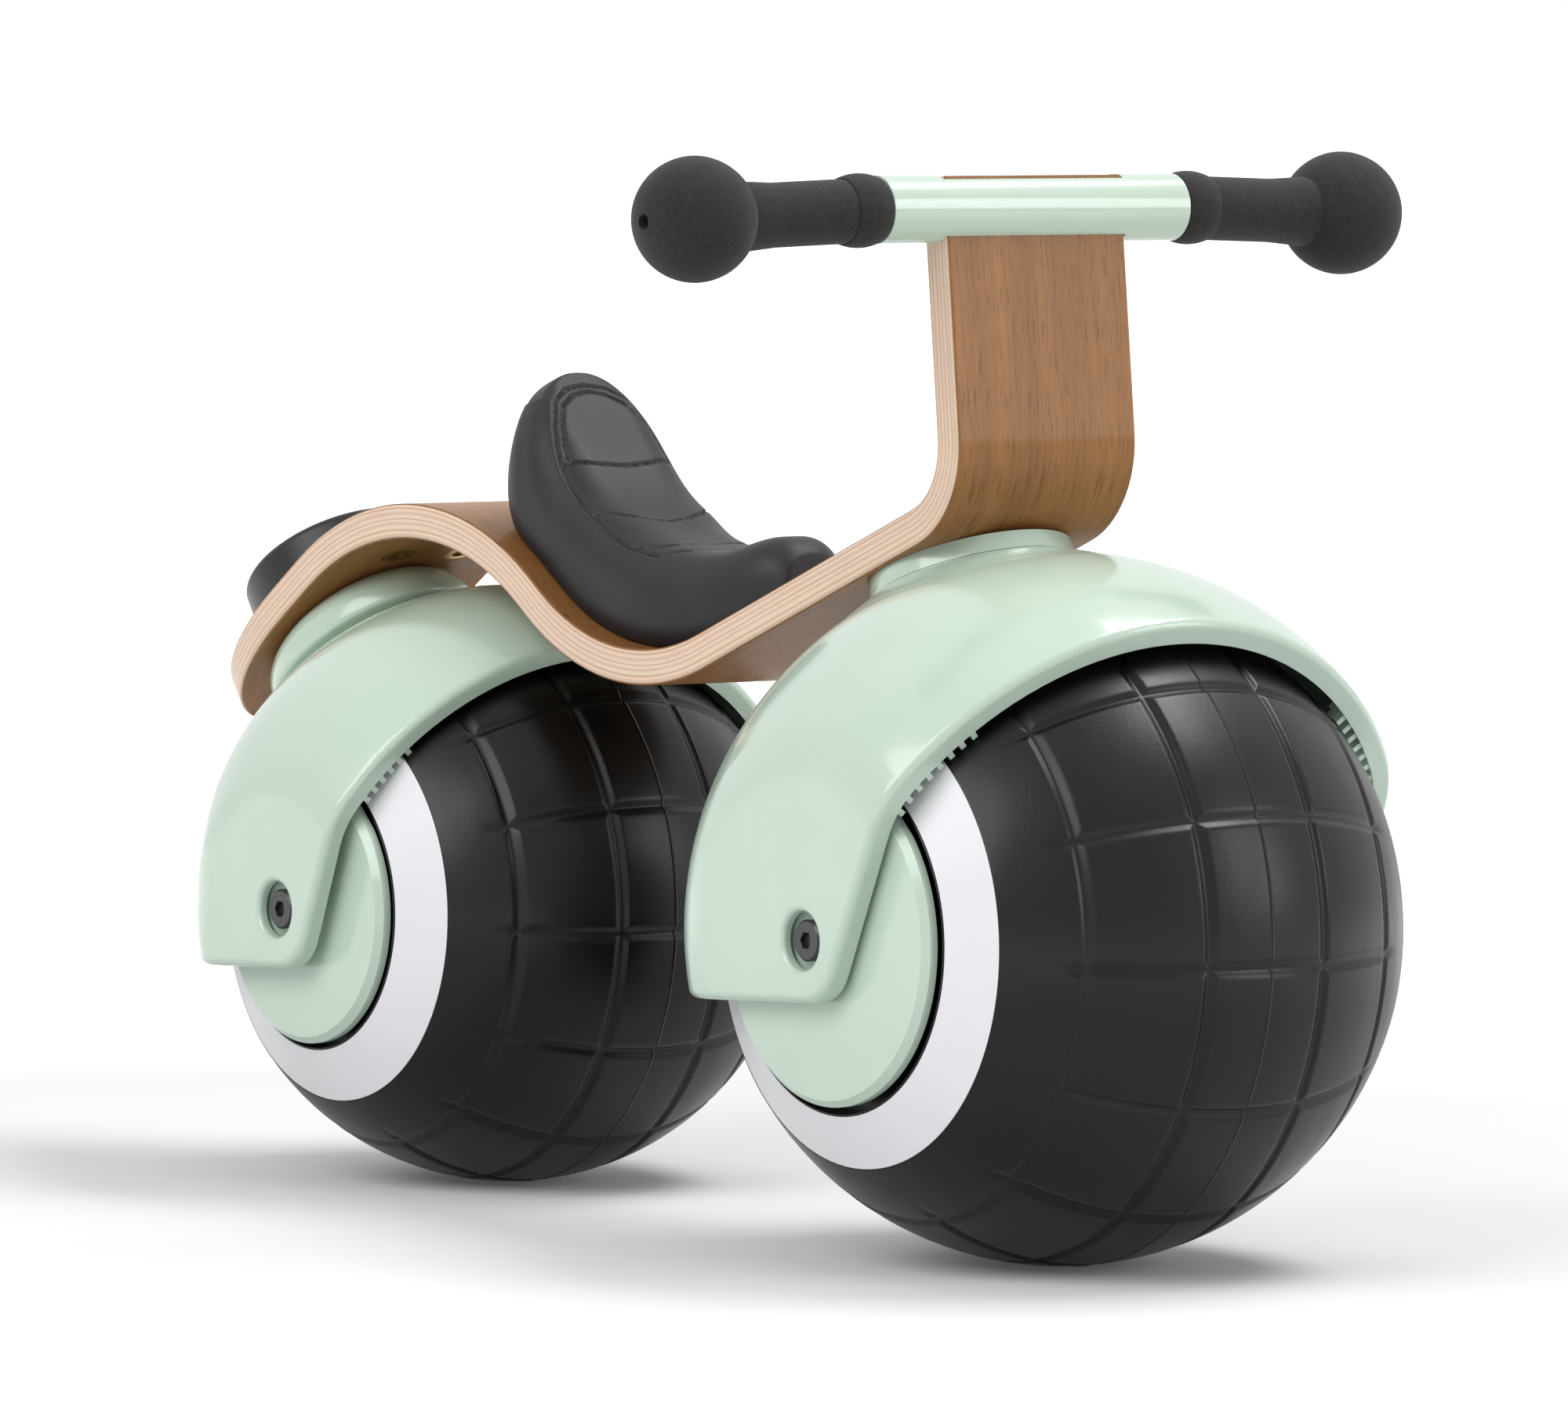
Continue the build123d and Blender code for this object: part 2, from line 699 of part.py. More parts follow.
with BuildPart() as steer_bolt:
    with BuildSketch(steer_plane.offset(steer_head_top)):
        Circle(steer_head_radius)
    extrude(amount=-steer_head_height)
    with BuildSketch(steer_plane.offset(steer_head_top)):
        Circle(steer_shoulder_radius)
    extrude(amount=-steer_head_top)
    with BuildSketch(steer_plane):
        Circle(steer_thread_radius)
    extrude(amount=ply_wall)
    with BuildSketch(steer_plane.offset(steer_head_top - steer_head_height)):
        RegularPolygon(steer_socket_radius, 6)
    extrude(amount=steer_socket_depth, mode=Mode.SUBTRACT)
save(steer_bolt, "steer_bolt")

with BuildPart() as steer_nut:
    with BuildSketch(steer_plane.offset(ply_wall)):
        Circle(steer_nut_radius)
    extrude(amount=steer_nut_height)
    with BuildSketch(steer_plane):
        Circle(steer_nut_sleeve)
    extrude(amount=ply_wall + steer_nut_height)
    with BuildSketch(steer_plane):
        Circle(steer_thread_radius + thread_gap)
    extrude(amount=ply_wall + thread_gap, mode=Mode.SUBTRACT)
    with BuildSketch(steer_plane.offset(ply_wall + steer_nut_height)):
        RegularPolygon(steer_socket_radius, 6)
    extrude(amount=-steer_socket_depth, mode=Mode.SUBTRACT)
save(steer_nut, "steer_nut")

with BuildPart() as steer_bush:
    with BuildSketch(steer_plane.offset(steer_floor_low)):
        Circle(steer_shoulder_radius + steer_bush_wall)
        Circle(steer_shoulder_radius + running_gap, mode=Mode.SUBTRACT)
    extrude(amount=head_floor_wall)
save(steer_bush, "steer_bush")


@dataclass(frozen=True)
class Guard:
    """Sizes of one mudguard, measured from the middle of its axle."""

    axle_x: float
    axle_z: float
    radius: float
    face: float
    corner: float
    lean: float
    forward: float
    lip: float
    ribs: int
    cover_face: float


@dataclass(frozen=True)
class Wheel:
    """Sizes of one ball wheel, measured from the middle of its axle."""

    name: str
    axle_x: float
    radius: float
    shift: float
    band_edge: float
    rim_edge: float
    rim_radius: float
    cover_radius: float
    cover_face: float
    cover_top: float
    head_seat: float


def axle_plane(axle_x, axle_z):
    """Plane level with an axle, local x forward and local y along the axle."""
    return Plane(origin=(axle_x, 0, axle_z), x_dir=(1, 0, 0), z_dir=(0, 0, 1))


def side_plane(axle_x, axle_z, side, out):
    """Plane square to an axle at a distance from the middle, facing away from the wheel."""
    return Plane(origin=(axle_x, side * out, axle_z), x_dir=(side, 0, 0), z_dir=(0, side, 0))


def dome_outline(radius, face, corner):
    """Half outline of a mudguard body: a ball with flat sides and a rounded edge between."""
    middle_y = face - corner
    middle_r = math.sqrt((radius - corner) ** 2 - middle_y**2)
    reach = radius / (radius - corner)
    touch = (middle_r * reach, middle_y * reach)
    half_turn = (math.atan2(middle_y, middle_r) + math.pi / 2) / 2
    round_mid = (middle_r + corner * math.cos(half_turn), middle_y + corner * math.sin(half_turn))
    with BuildLine() as outline:
        Line((0, face), (middle_r, face))
        ThreePointArc((middle_r, face), round_mid, touch)
        ThreePointArc(touch, (radius, 0), (touch[0], -touch[1]))
        ThreePointArc((touch[0], -touch[1]), (round_mid[0], -round_mid[1]), (middle_r, -face))
        Polyline((middle_r, -face), (0, -face), (0, face))
    return outline.line


def dome(guard, wall):
    """Solid body of a guard, smaller all round by wall."""
    with BuildPart() as body:
        with BuildSketch(axle_plane(guard.axle_x, guard.axle_z)):
            add(dome_outline(guard.radius - wall, guard.face - wall, guard.corner - wall))
            make_face()
        revolve(axis=Axis((guard.axle_x, 0, guard.axle_z), (0, 1, 0)))
    return body.part


def cut_plane(guard, degrees, distance):
    """Plane square to the side view, facing out from the axle below the level by an angle."""
    out_x, out_z = polar(1.0, -degrees)
    return Plane(
        origin=(guard.axle_x + distance * out_x, 0, guard.axle_z + distance * out_z),
        x_dir=(0, 1, 0),
        z_dir=(out_x, 0, out_z),
    )


def bottom_plane(guard, inset):
    """The plane that cuts a guard off below its arms, moved in by inset."""
    return cut_plane(guard, 90.0 - guard_tilt, guard_drop - inset)


def rim_plane(guard, inset):
    """The plane of a guard's front rim, moved in by inset."""
    return cut_plane(guard, guard.lean, polar(guard.forward, guard.lean)[0] - inset)


def guard_body(guard):
    """Outer body of a guard with its rounded toes, rolled edges and pockets, before hollowing."""
    with BuildPart() as body:
        add(dome(guard, 0))
        split(bisect_by=bottom_plane(guard, 0), keep=Keep.BOTTOM)
        split(bisect_by=rim_plane(guard, 0), keep=Keep.BOTTOM)
        toe = body.edges().filter_by(Axis.Y).group_by(Axis.Z)[0]
        fillet(toe, radius=guard_toe_radius)
        cut_faces = body.faces().filter_by(GeomType.PLANE).filter_by(Plane.XZ, reverse=True)
        fillet(cut_faces.edges().filter_by(Axis.Y, reverse=True), radius=guard_edge_radius)
        for side in (1, -1):
            with BuildSketch(side_plane(guard.axle_x, guard.axle_z, side, guard.face - pocket_depth)):
                Circle(pocket_radius)
            extrude(amount=guard.face, mode=Mode.SUBTRACT)
        mouths = body.edges().filter_by(GeomType.CIRCLE).filter_by(
            lambda e: abs(e.radius - pocket_radius) < thread_gap
            and abs(abs(e.center().Y) - guard.face) < thread_gap
        )
        fillet(mouths, radius=pocket_lip)
    return body.part


def guard_cavity(guard):
    """The hollow behind a guard's thickened lip."""
    with BuildPart() as cavity:
        add(dome(guard, guard_wall))
        split(bisect_by=bottom_plane(guard, guard_lip_width), keep=Keep.BOTTOM)
        split(bisect_by=rim_plane(guard, guard_lip_width), keep=Keep.BOTTOM)
    return cavity.part


def guard_ribs(guard):
    """Short stiffening ribs on the inside of the lip, on both sides."""
    span = rib_pitch * (guard.ribs - 1)
    with BuildPart() as ribs:
        with BuildSketch(rim_plane(guard, guard_edge_radius)):
            for start in (rib_start, 180 - rib_start - span):
                with PolarLocations(guard.radius - guard.lip, guard.ribs, start, span, endpoint=True):
                    Rectangle(guard.lip * 2, rib_width)
        extrude(amount=-rib_depth)
        add(dome(guard, guard.lip - rib_root), mode=Mode.INTERSECT)
        add(dome(guard, guard.lip + rib_reach), mode=Mode.SUBTRACT)
    return ribs.part


def hollow_guard(guard, body):
    """A whole guard: its body hollowed, with ribs, arm bosses and bolt holes."""
    with BuildPart() as shell:
        add(body)
        add(dome(guard, guard.lip), mode=Mode.SUBTRACT)
        add(guard_cavity(guard), mode=Mode.SUBTRACT)
        add(guard_ribs(guard))
        for side in (1, -1):
            with BuildSketch(side_plane(guard.axle_x, guard.axle_z, side, guard.cover_face)):
                Circle(arm_boss_radius)
            extrude(amount=guard.face - pocket_depth - guard.cover_face)
            with BuildSketch(side_plane(guard.axle_x, guard.axle_z, side, guard.cover_face - root_overlap)):
                Circle(axle_bolt_radius + seat_gap)
            extrude(amount=guard.face, mode=Mode.SUBTRACT)
    return shell.part


front_guard = Guard(
    front_axle_x,
    front_ball_radius,
    front_guard_radius,
    front_guard_face,
    front_guard_corner,
    front_rim_lean,
    front_rim_forward,
    front_lip_depth,
    front_rib_count,
    front_cover_face,
)
rear_guard = Guard(
    rear_axle_x,
    rear_ball_radius,
    rear_guard_radius,
    rear_guard_face,
    rear_guard_corner,
    rear_rim_lean,
    rear_rim_forward,
    rear_lip_depth,
    rear_rib_count,
    rear_cover_face,
)

# Front guard body with the flat-topped boss that turns under the collar
boss_top = -head_collar_wall - moving_gap
with BuildPart() as front_body:
    add(guard_body(front_guard))
    with BuildSketch(steer_plane):
        Circle(head_boss_radius)
    extrude(amount=-head_collar_wall * 2)
    with BuildSketch(steer_plane.offset(boss_top)):
        Circle(head_boss_radius + root_overlap)
    extrude(amount=head_height, mode=Mode.SUBTRACT)
    boss_walls = front_body.faces().filter_by(GeomType.CYLINDER).filter_by(
        lambda f: abs(f.radius - head_boss_radius) < thread_gap
    )
    fillet(boss_walls.edges().filter_by(GeomType.BSPLINE), radius=head_boss_fillet)

# Path of the limit pin in the boss floor
with BuildLine() as slot_path:
    slot_sweep = steer_range + math.degrees(moving_gap / stop_pin_orbit)
    CenterArc((0, 0), stop_pin_orbit, 180 - slot_sweep, 2 * slot_sweep)

# Floor of the boss, with the hole for the bush and the slot for the limit pin
floor_radius = head_boss_radius - root_overlap
with BuildPart() as head_floor:
    with BuildSketch(steer_plane.offset(boss_top)):
        Circle(floor_radius)
        Circle(steer_shoulder_radius + steer_bush_wall, mode=Mode.SUBTRACT)
    extrude(amount=-head_floor_wall)
    with BuildSketch(steer_plane.offset(boss_top)):
        SlotArc(slot_path.edges()[0], 2 * (stop_pin_radius + moving_gap))
    extrude(amount=-stop_pin_reach - stop_slot_play, mode=Mode.SUBTRACT)

# Front mudguard, with the boss floor let into it
with BuildPart() as front_mudguard:
    add(hollow_guard(front_guard, front_body.part))
    with BuildSketch(steer_plane.offset(boss_top)):
        Circle(floor_radius)
    extrude(amount=-head_floor_wall, mode=Mode.SUBTRACT)
    add(head_floor.part)
save(front_mudguard, "front_mudguard")

# Rear mudguard, drilled for the mount bolt
with BuildPart() as rear_mudguard:
    add(hollow_guard(rear_guard, guard_body(rear_guard)))
    with BuildSketch(tail_under_plane):
        Circle(rear_bolt_radius + seat_gap)
    extrude(amount=-rear_collar_depth, mode=Mode.SUBTRACT)
save(rear_mudguard, "rear_mudguard")

# Rear collar: an oval block that fills the wedge between the tail and the guard
with BuildPart() as rear_collar:
    with BuildSketch(tail_under_plane.offset(-rear_collar_depth)):
        Ellipse(rear_collar_half_length, rear_collar_half_width)
    extrude(amount=rear_collar_depth)
    collar_rim = rear_collar.faces().sort_by(Axis((0, 0, 0), tail_under_plane.z_dir))[-1].edges()
    fillet(collar_rim, radius=rear_collar_edge)
    add(strip_solid(), mode=Mode.SUBTRACT)
    with Locations((rear_axle_x, 0, rear_ball_radius)):
        Sphere(rear_guard_radius + rear_collar_slit, mode=Mode.SUBTRACT)
    with BuildSketch(tail_under_plane):
        Circle(rear_spigot_radius)
    extrude(amount=-rear_collar_depth)
    with Locations((rear_axle_x, 0, rear_ball_radius)):
        Sphere(rear_guard_radius, mode=Mode.SUBTRACT)
    with BuildSketch(tail_under_plane):
        Circle(rear_bolt_radius + seat_gap)
    extrude(amount=-rear_collar_depth, mode=Mode.SUBTRACT)
save(rear_collar, "rear_collar")

# Rear mount bolt: its head sits inside the guard, its nut inside the pad
mount_offset = tail_under_plane.origin - Vector(rear_axle_x, 0, rear_ball_radius)
mount_back = abs(mount_offset.dot(tail_under_plane.x_dir))
mount_height = mount_offset.dot(tail_under_plane.z_dir)
guard_inside = rear_guard_radius - guard_wall
mount_head_top = math.sqrt(guard_inside**2 - (mount_back + rear_bolt_head) ** 2) - mount_height

with BuildPart() as rear_mount_bolt:
    with BuildSketch(tail_under_plane.offset(mount_head_top)):
        Circle(rear_bolt_head)
    extrude(amount=-rear_bolt_head_height)
    with BuildSketch(tail_under_plane.offset(mount_head_top)):
        Circle(rear_bolt_radius)
    extrude(amount=ply_wall + rear_nut_height - mount_head_top)
save(rear_mount_bolt, "rear_mount_bolt")

with BuildPart() as rear_mount_nut:
    with BuildSketch(tail_top_plane):
        RegularPolygon(rear_nut_radius, 6)
        Circle(rear_bolt_radius + thread_gap, mode=Mode.SUBTRACT)
    extrude(amount=rear_nut_height)
save(rear_mount_nut, "rear_mount_nut")


def crown_radius(radius, shift, y):
    """Radius of a ball's tread at a distance from its middle."""
    return math.sqrt((radius + shift) ** 2 - y * y) - shift


def band_ring(wheel, side, gap):
    """A flat cone ring let into the side of a ball, made smaller all round by gap."""
    band_radius = crown_radius(wheel.radius, wheel.shift, wheel.band_edge)
    run = math.hypot(wheel.rim_edge - wheel.band_edge, band_radius - wheel.rim_radius)
    along = ((wheel.rim_radius - band_radius) / run, (wheel.rim_edge - wheel.band_edge) / run)
    inward = (-along[1], along[0])
    corners = []
    for distance in (band_margin + gap, run - band_margin - gap):
        for depth in (0, band_wall - gap):
            corners.append(
                (
                    band_radius + along[0] * distance + inward[0] * depth,
                    side * (wheel.band_edge + along[1] * distance + inward[1] * depth),
                )
            )
    with BuildPart() as ring:
        with BuildSketch(axle_plane(wheel.axle_x, wheel.radius)):
            with BuildLine():
                Polyline(corners[0], corners[2], corners[3], corners[1], close=True)
            make_face()
        revolve(axis=Axis((wheel.axle_x, 0, wheel.radius), (0, 1, 0)))
    return ring.part


def ball_parts(wheel, web):
    """The hollow ball with its tread grooves, and the ring let into each side."""
    radius = wheel.radius
    inside = web - hub_web_wall
    band_radius = crown_radius(radius, wheel.shift, wheel.band_edge)
    inner_radius = crown_radius(radius - ball_wall, wheel.shift, inside)
    flat = inside * ball_flat_share
    flat_radius = crown_radius(radius - ball_wall, wheel.shift, flat)
    with BuildPart() as ball:
        with BuildSketch(axle_plane(wheel.axle_x, radius)):
            with BuildLine():
                Polyline(
                    (core_radius, web),
                    (wheel.rim_radius, web),
                    (wheel.rim_radius, wheel.rim_edge),
                    (band_radius, wheel.band_edge),
                )
                ThreePointArc((band_radius, wheel.band_edge), (radius, 0), (band_radius, -wheel.band_edge))
                Polyline(
                    (band_radius, -wheel.band_edge),
                    (wheel.rim_radius, -wheel.rim_edge),
                    (wheel.rim_radius, -web),
                    (core_radius, -web),
                    (core_radius, -inside),
                    (inner_radius, -inside),
                    (flat_radius, -flat),
                    (flat_radius, flat),
                    (inner_radius, inside),
                    (core_radius, inside),
                    (core_radius, web),
                )
            make_face()
            for groove in (-tread_groove_outer, -tread_groove_inner, tread_groove_inner, tread_groove_outer):
                x, y = polar(radius + wheel.shift, groove)
                with Locations(Location((x - wheel.shift, y, 0), (0, 0, groove))):
                    Polygon(
                        (-tread_groove_depth, 0),
                        (tread_groove_depth, -tread_groove_width),
                        (tread_groove_depth, tread_groove_width),
                        align=None,
                        mode=Mode.SUBTRACT,
                    )
        revolve(axis=Axis((wheel.axle_x, 0, radius), (0, 1, 0)))
        for side in (1, -1):
            add(band_ring(wheel, side, 0.0), mode=Mode.SUBTRACT)
    save(ball, f"{wheel.name}_ball")
    for side, word in ((1, "left"), (-1, "right")):
        with BuildPart() as band:
            add(band_ring(wheel, side, thread_gap))
        save(band, f"{wheel.name}_band_{word}")


def core_parts(wheel, web):
    """The core through the ball and the plain bush in each end of it."""
    plane = axle_plane(wheel.axle_x, wheel.radius)
    axis = Axis((wheel.axle_x, 0, wheel.radius), (0, 1, 0))
    shoulder = web - hub_web_wall - thread_gap
    outer = core_radius - thread_gap
    seat_radius = bush_radius + thread_gap
    with BuildPart() as core:
        with BuildSketch(plane):
            with BuildLine():
                Polyline(
                    (core_bore, bush_length - web),
                    (seat_radius, bush_length - web),
                    (seat_radius, -web),
                    (outer, -web),
                    (outer, -shoulder),
                    (core_radius + core_shoulder, -shoulder),
                    (core_radius + core_shoulder, shoulder),
                    (outer, shoulder),
                    (outer, web),
                    (seat_radius, web),
                    (seat_radius, web - bush_length),
                    (core_bore, web - bush_length),
                    close=True,
                )
            make_face()
        revolve(axis=axis)
    save(core, f"{wheel.name}_core")

    bore = axle_radius + running_gap
    with BuildPart() as bushes:
        with BuildSketch(plane):
            for side in (1, -1):
                with BuildLine():
                    Polyline(
                        (bore, side * (web - bush_length)),
                        (bush_radius, side * (web - bush_length)),
                        (bush_radius, side * web),
                        (bush_flange_radius, side * web),
                        (bush_flange_radius, side * (web + bush_flange_wall)),
                        (bore, side * (web + bush_flange_wall)),
                        close=True,
                    )
                make_face()
        revolve(axis=axis)
    save(bushes, f"{wheel.name}_bushes")


def axle_parts(wheel, axle_end):
    """The axle and the bolt screwed into each end of it through the guard's arm."""
    with BuildPart() as axle:
        with BuildSketch(side_plane(wheel.axle_x, wheel.radius, 1, 0)):
            Circle(axle_radius)
        extrude(amount=axle_end, both=True)
        for side in (1, -1):
            with BuildSketch(side_plane(wheel.axle_x, wheel.radius, side, axle_end)):
                Circle(axle_bolt_radius + thread_gap)
            extrude(amount=-axle_bolt_grip - blind_end, mode=Mode.SUBTRACT)
    save(axle, f"{wheel.name}_axle")

    head_face = wheel.head_seat + bolt_head_height
    with BuildPart() as bolts:
        for side in (1, -1):
            with BuildSketch(side_plane(wheel.axle_x, wheel.radius, side, wheel.head_seat)):
                Circle(bolt_head_radius)
            extrude(amount=bolt_head_height)
            with BuildSketch(side_plane(wheel.axle_x, wheel.radius, side, axle_end - axle_bolt_grip)):
                Circle(axle_bolt_radius)
            extrude(amount=wheel.head_seat - axle_end + axle_bolt_grip)
            with BuildSketch(side_plane(wheel.axle_x, wheel.radius, side, head_face)):
                RegularPolygon(bolt_socket_radius, 6)
            extrude(amount=-bolt_socket_depth, mode=Mode.SUBTRACT)
        rims = bolts.edges().filter_by(GeomType.CIRCLE).filter_by(
            lambda e: abs(abs(e.center().Y) - head_face) < thread_gap
        )
        chamfer(rims, length=edge_break)
    save(bolts, f"{wheel.name}_axle_bolts")


def cover_parts(wheel, axle_end):
    """The round hub cover on each side, flat across its top where it meets the guard."""
    for side, word in ((1, "left"), (-1, "right")):
        with BuildPart() as cover:
            with BuildSketch(side_plane(wheel.axle_x, wheel.radius, side, wheel.cover_face - cover_wall)):
                Circle(wheel.cover_radius)
            extrude(amount=cover_wall)
            face_rim = cover.edges().filter_by(
                lambda e: abs(abs(e.center().Y) - wheel.cover_face) < thread_gap
            )
            chamfer(face_rim, length=cover_bevel)
            with BuildSketch(side_plane(wheel.axle_x, wheel.radius, side, axle_end)):
                Circle(cover_boss_radius)
            extrude(amount=wheel.cover_face - cover_wall - axle_end)
            with BuildSketch(side_plane(wheel.axle_x, wheel.radius, side, axle_end)):
                Circle(axle_bolt_radius + seat_gap)
            extrude(amount=wheel.cover_face, mode=Mode.SUBTRACT)
            chord_middle = wheel.radius + wheel.cover_top + wheel.cover_radius
            with Locations((wheel.axle_x, side * wheel.cover_face, chord_middle)):
                Box(
                    wheel.cover_radius * 3,
                    wheel.cover_radius,
                    wheel.cover_radius * 2,
                    mode=Mode.SUBTRACT,
                )
        save(cover, f"{wheel.name}_cover_{word}")


def build_wheel(wheel):
    """One ball wheel with its bands, core, bushes, axle, axle bolts and hub covers."""
    web = wheel.rim_edge - hub_web_depth
    axle_end = web + bush_flange_wall + cover_boss_play
    ball_parts(wheel, web)
    core_parts(wheel, web)
    axle_parts(wheel, axle_end)
    cover_parts(wheel, axle_end)


build_wheel(
    Wheel(
        "front",
        front_axle_x,
        front_ball_radius,
        front_crown_shift,
        front_band_edge,
        front_rim_edge,
        front_rim_radius,
        front_cover_radius,
        front_cover_face,
        front_cover_top,
        front_guard_face - pocket_depth,
    )
)
build_wheel(
    Wheel(
        "rear",
        rear_axle_x,
        rear_ball_radius,
        rear_crown_shift,
        rear_band_edge,
        rear_rim_edge,
        rear_rim_radius,
        rear_cover_radius,
        rear_cover_face,
        rear_cover_top,
        rear_guard_face - pocket_depth,
    )
)
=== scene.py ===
"""Looks of the ball-wheeled balance bike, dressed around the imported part.

Metres. +X is forward, +Y is the rider's left and +Z is up, as in the part's own frame.
"""

import logging
import math
from collections.abc import Iterable, Sequence
from dataclasses import dataclass
from enum import Enum

import bmesh
import bpy
from mathutils import Matrix, Vector


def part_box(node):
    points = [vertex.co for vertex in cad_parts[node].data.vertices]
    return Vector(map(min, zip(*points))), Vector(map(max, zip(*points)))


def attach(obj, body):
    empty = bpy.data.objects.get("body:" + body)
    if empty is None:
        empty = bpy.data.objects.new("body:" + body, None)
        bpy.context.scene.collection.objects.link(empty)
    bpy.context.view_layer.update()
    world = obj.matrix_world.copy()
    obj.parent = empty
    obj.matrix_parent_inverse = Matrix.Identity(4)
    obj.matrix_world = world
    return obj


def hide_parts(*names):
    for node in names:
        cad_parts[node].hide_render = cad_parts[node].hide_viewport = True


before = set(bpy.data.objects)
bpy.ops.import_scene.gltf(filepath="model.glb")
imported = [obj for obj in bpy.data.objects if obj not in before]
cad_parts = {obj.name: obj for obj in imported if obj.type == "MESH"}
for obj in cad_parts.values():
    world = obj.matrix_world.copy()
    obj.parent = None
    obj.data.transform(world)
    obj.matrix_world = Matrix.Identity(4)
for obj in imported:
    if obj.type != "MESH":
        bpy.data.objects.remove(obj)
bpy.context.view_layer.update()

logging.basicConfig(level=logging.INFO, format="%(message)s")
log = logging.getLogger("scene")

MM = 0.001
MERGE_DISTANCE = 0.002 * MM
CUT_TOLERANCE = 1e-7
ROUND_TURN = 2 * math.pi
HALF_TURN_DEGREES = 180.0
Point = tuple[float, float]
Range = tuple[float, float]
Spot = tuple[float, float, float]
Mesh = bmesh.types.BMesh
Socket = bpy.types.NodeSocket
WHOLE: Range = (0.0, 1.0)
NOISE_RANGE: Range = (0.3, 0.7)
SIDES = ("left", "right")
FRONT_AXLE: Point = (175.0, 110.0)
REAR_AXLE: Point = (-134.2, 97.4)
FRONT_DOME = 122.5


def placed(name: str, data: bpy.types.ID) -> bpy.types.Object:
    """A new object in the scene."""
    made = bpy.data.objects.new(name, data)
    bpy.context.scene.collection.objects.link(made)
    return made


def in_plane(point: Point) -> Vector:
    """A point of the side view, on the part's middle plane."""
    return Vector((point[0], 0.0, point[1]))


def tilted(slope: float) -> tuple[Vector, Vector]:
    """The directions of a slope in the side view.

    Args:
        slope: The slope in degrees.

    Returns:
        The direction forward along it and the one upward from it.
    """
    lean = math.radians(slope)
    return in_plane((math.cos(lean), math.sin(lean))), in_plane((-math.sin(lean), math.cos(lean)))


def clamped(share: float) -> float:
    """A share held between 0 and 1."""
    return min(max(share, 0.0), 1.0)


def ease(share: float) -> float:
    """A share from 0 to 1 that starts and ends softly."""
    return share * share * (3.0 - 2.0 * share)


def spun(row: Sequence[Vector], closed: bool, root: Vector, axis: Vector, steps: int) -> Mesh:
    """Spins a row of points once round an axis.

    Args:
        row: The points, in metres.
        closed: Whether the last point joins the first.
        root: A point on the axis.
        axis: The direction of the axis.
        steps: How many steps make the turn.

    Returns:
        A new bmesh with the skin, for the caller to free.
    """
    work = bmesh.new()
    verts = [work.verts.new(point) for point in row]
    pairs = [(verts[i], verts[i - 1]) for i in range(len(verts))] if closed else zip(verts, verts[1:])
    edges = [work.edges.new(pair) for pair in pairs]
    bmesh.ops.spin(
        work,
        geom=verts + edges,
        cent=root,
        axis=axis,
        dvec=(0.0, 0.0, 0.0),
        angle=ROUND_TURN,
        steps=steps,
        use_merge=True,
        use_duplicate=False,
    )
    bmesh.ops.remove_doubles(work, verts=work.verts, dist=MERGE_DISTANCE)
    return work


class Body(Enum):
    """The moving bodies of the part."""

    FRAME = "frame"
    FORK = "front_fork"
    FRONT_WHEEL = "front_wheel"
    REAR_WHEEL = "rear_wheel"


class Slot(Enum):
    """The material slots of the part's record."""

    PLY = "birch_ply"
    PAINT = "mint_paint"
    SHELL = "mint_plastic"
    FOAM = "foam_grip"
    SADDLE = "soft_saddle"
    PAD = "black_pad"
    RUBBER = "ball_rubber"
    BAND = "white_plastic"
    CORE = "core_plastic"
    NYLON = "grey_nylon"
    ZINC = "zinc_steel"
    BLACK = "black_steel"
    BRASS = "brass_insert"


@dataclass(frozen=True)
class Tone:
    """A colour as it shows on screen, each channel from 0 to 255."""

    red: float
    green: float
    blue: float

    @staticmethod
    def channel(value: float) -> float:
        """One channel turned from screen to linear light, by the sRGB curve."""
        return value / 12.92 if value <= 0.04045 else ((value + 0.055) / 1.055) ** 2.4

    def linear(self) -> tuple[float, float, float, float]:
        """The colour in linear light, opaque."""
        red, green, blue = (self.channel(c / 255) for c in (self.red, self.green, self.blue))
        return red, green, blue, 1.0


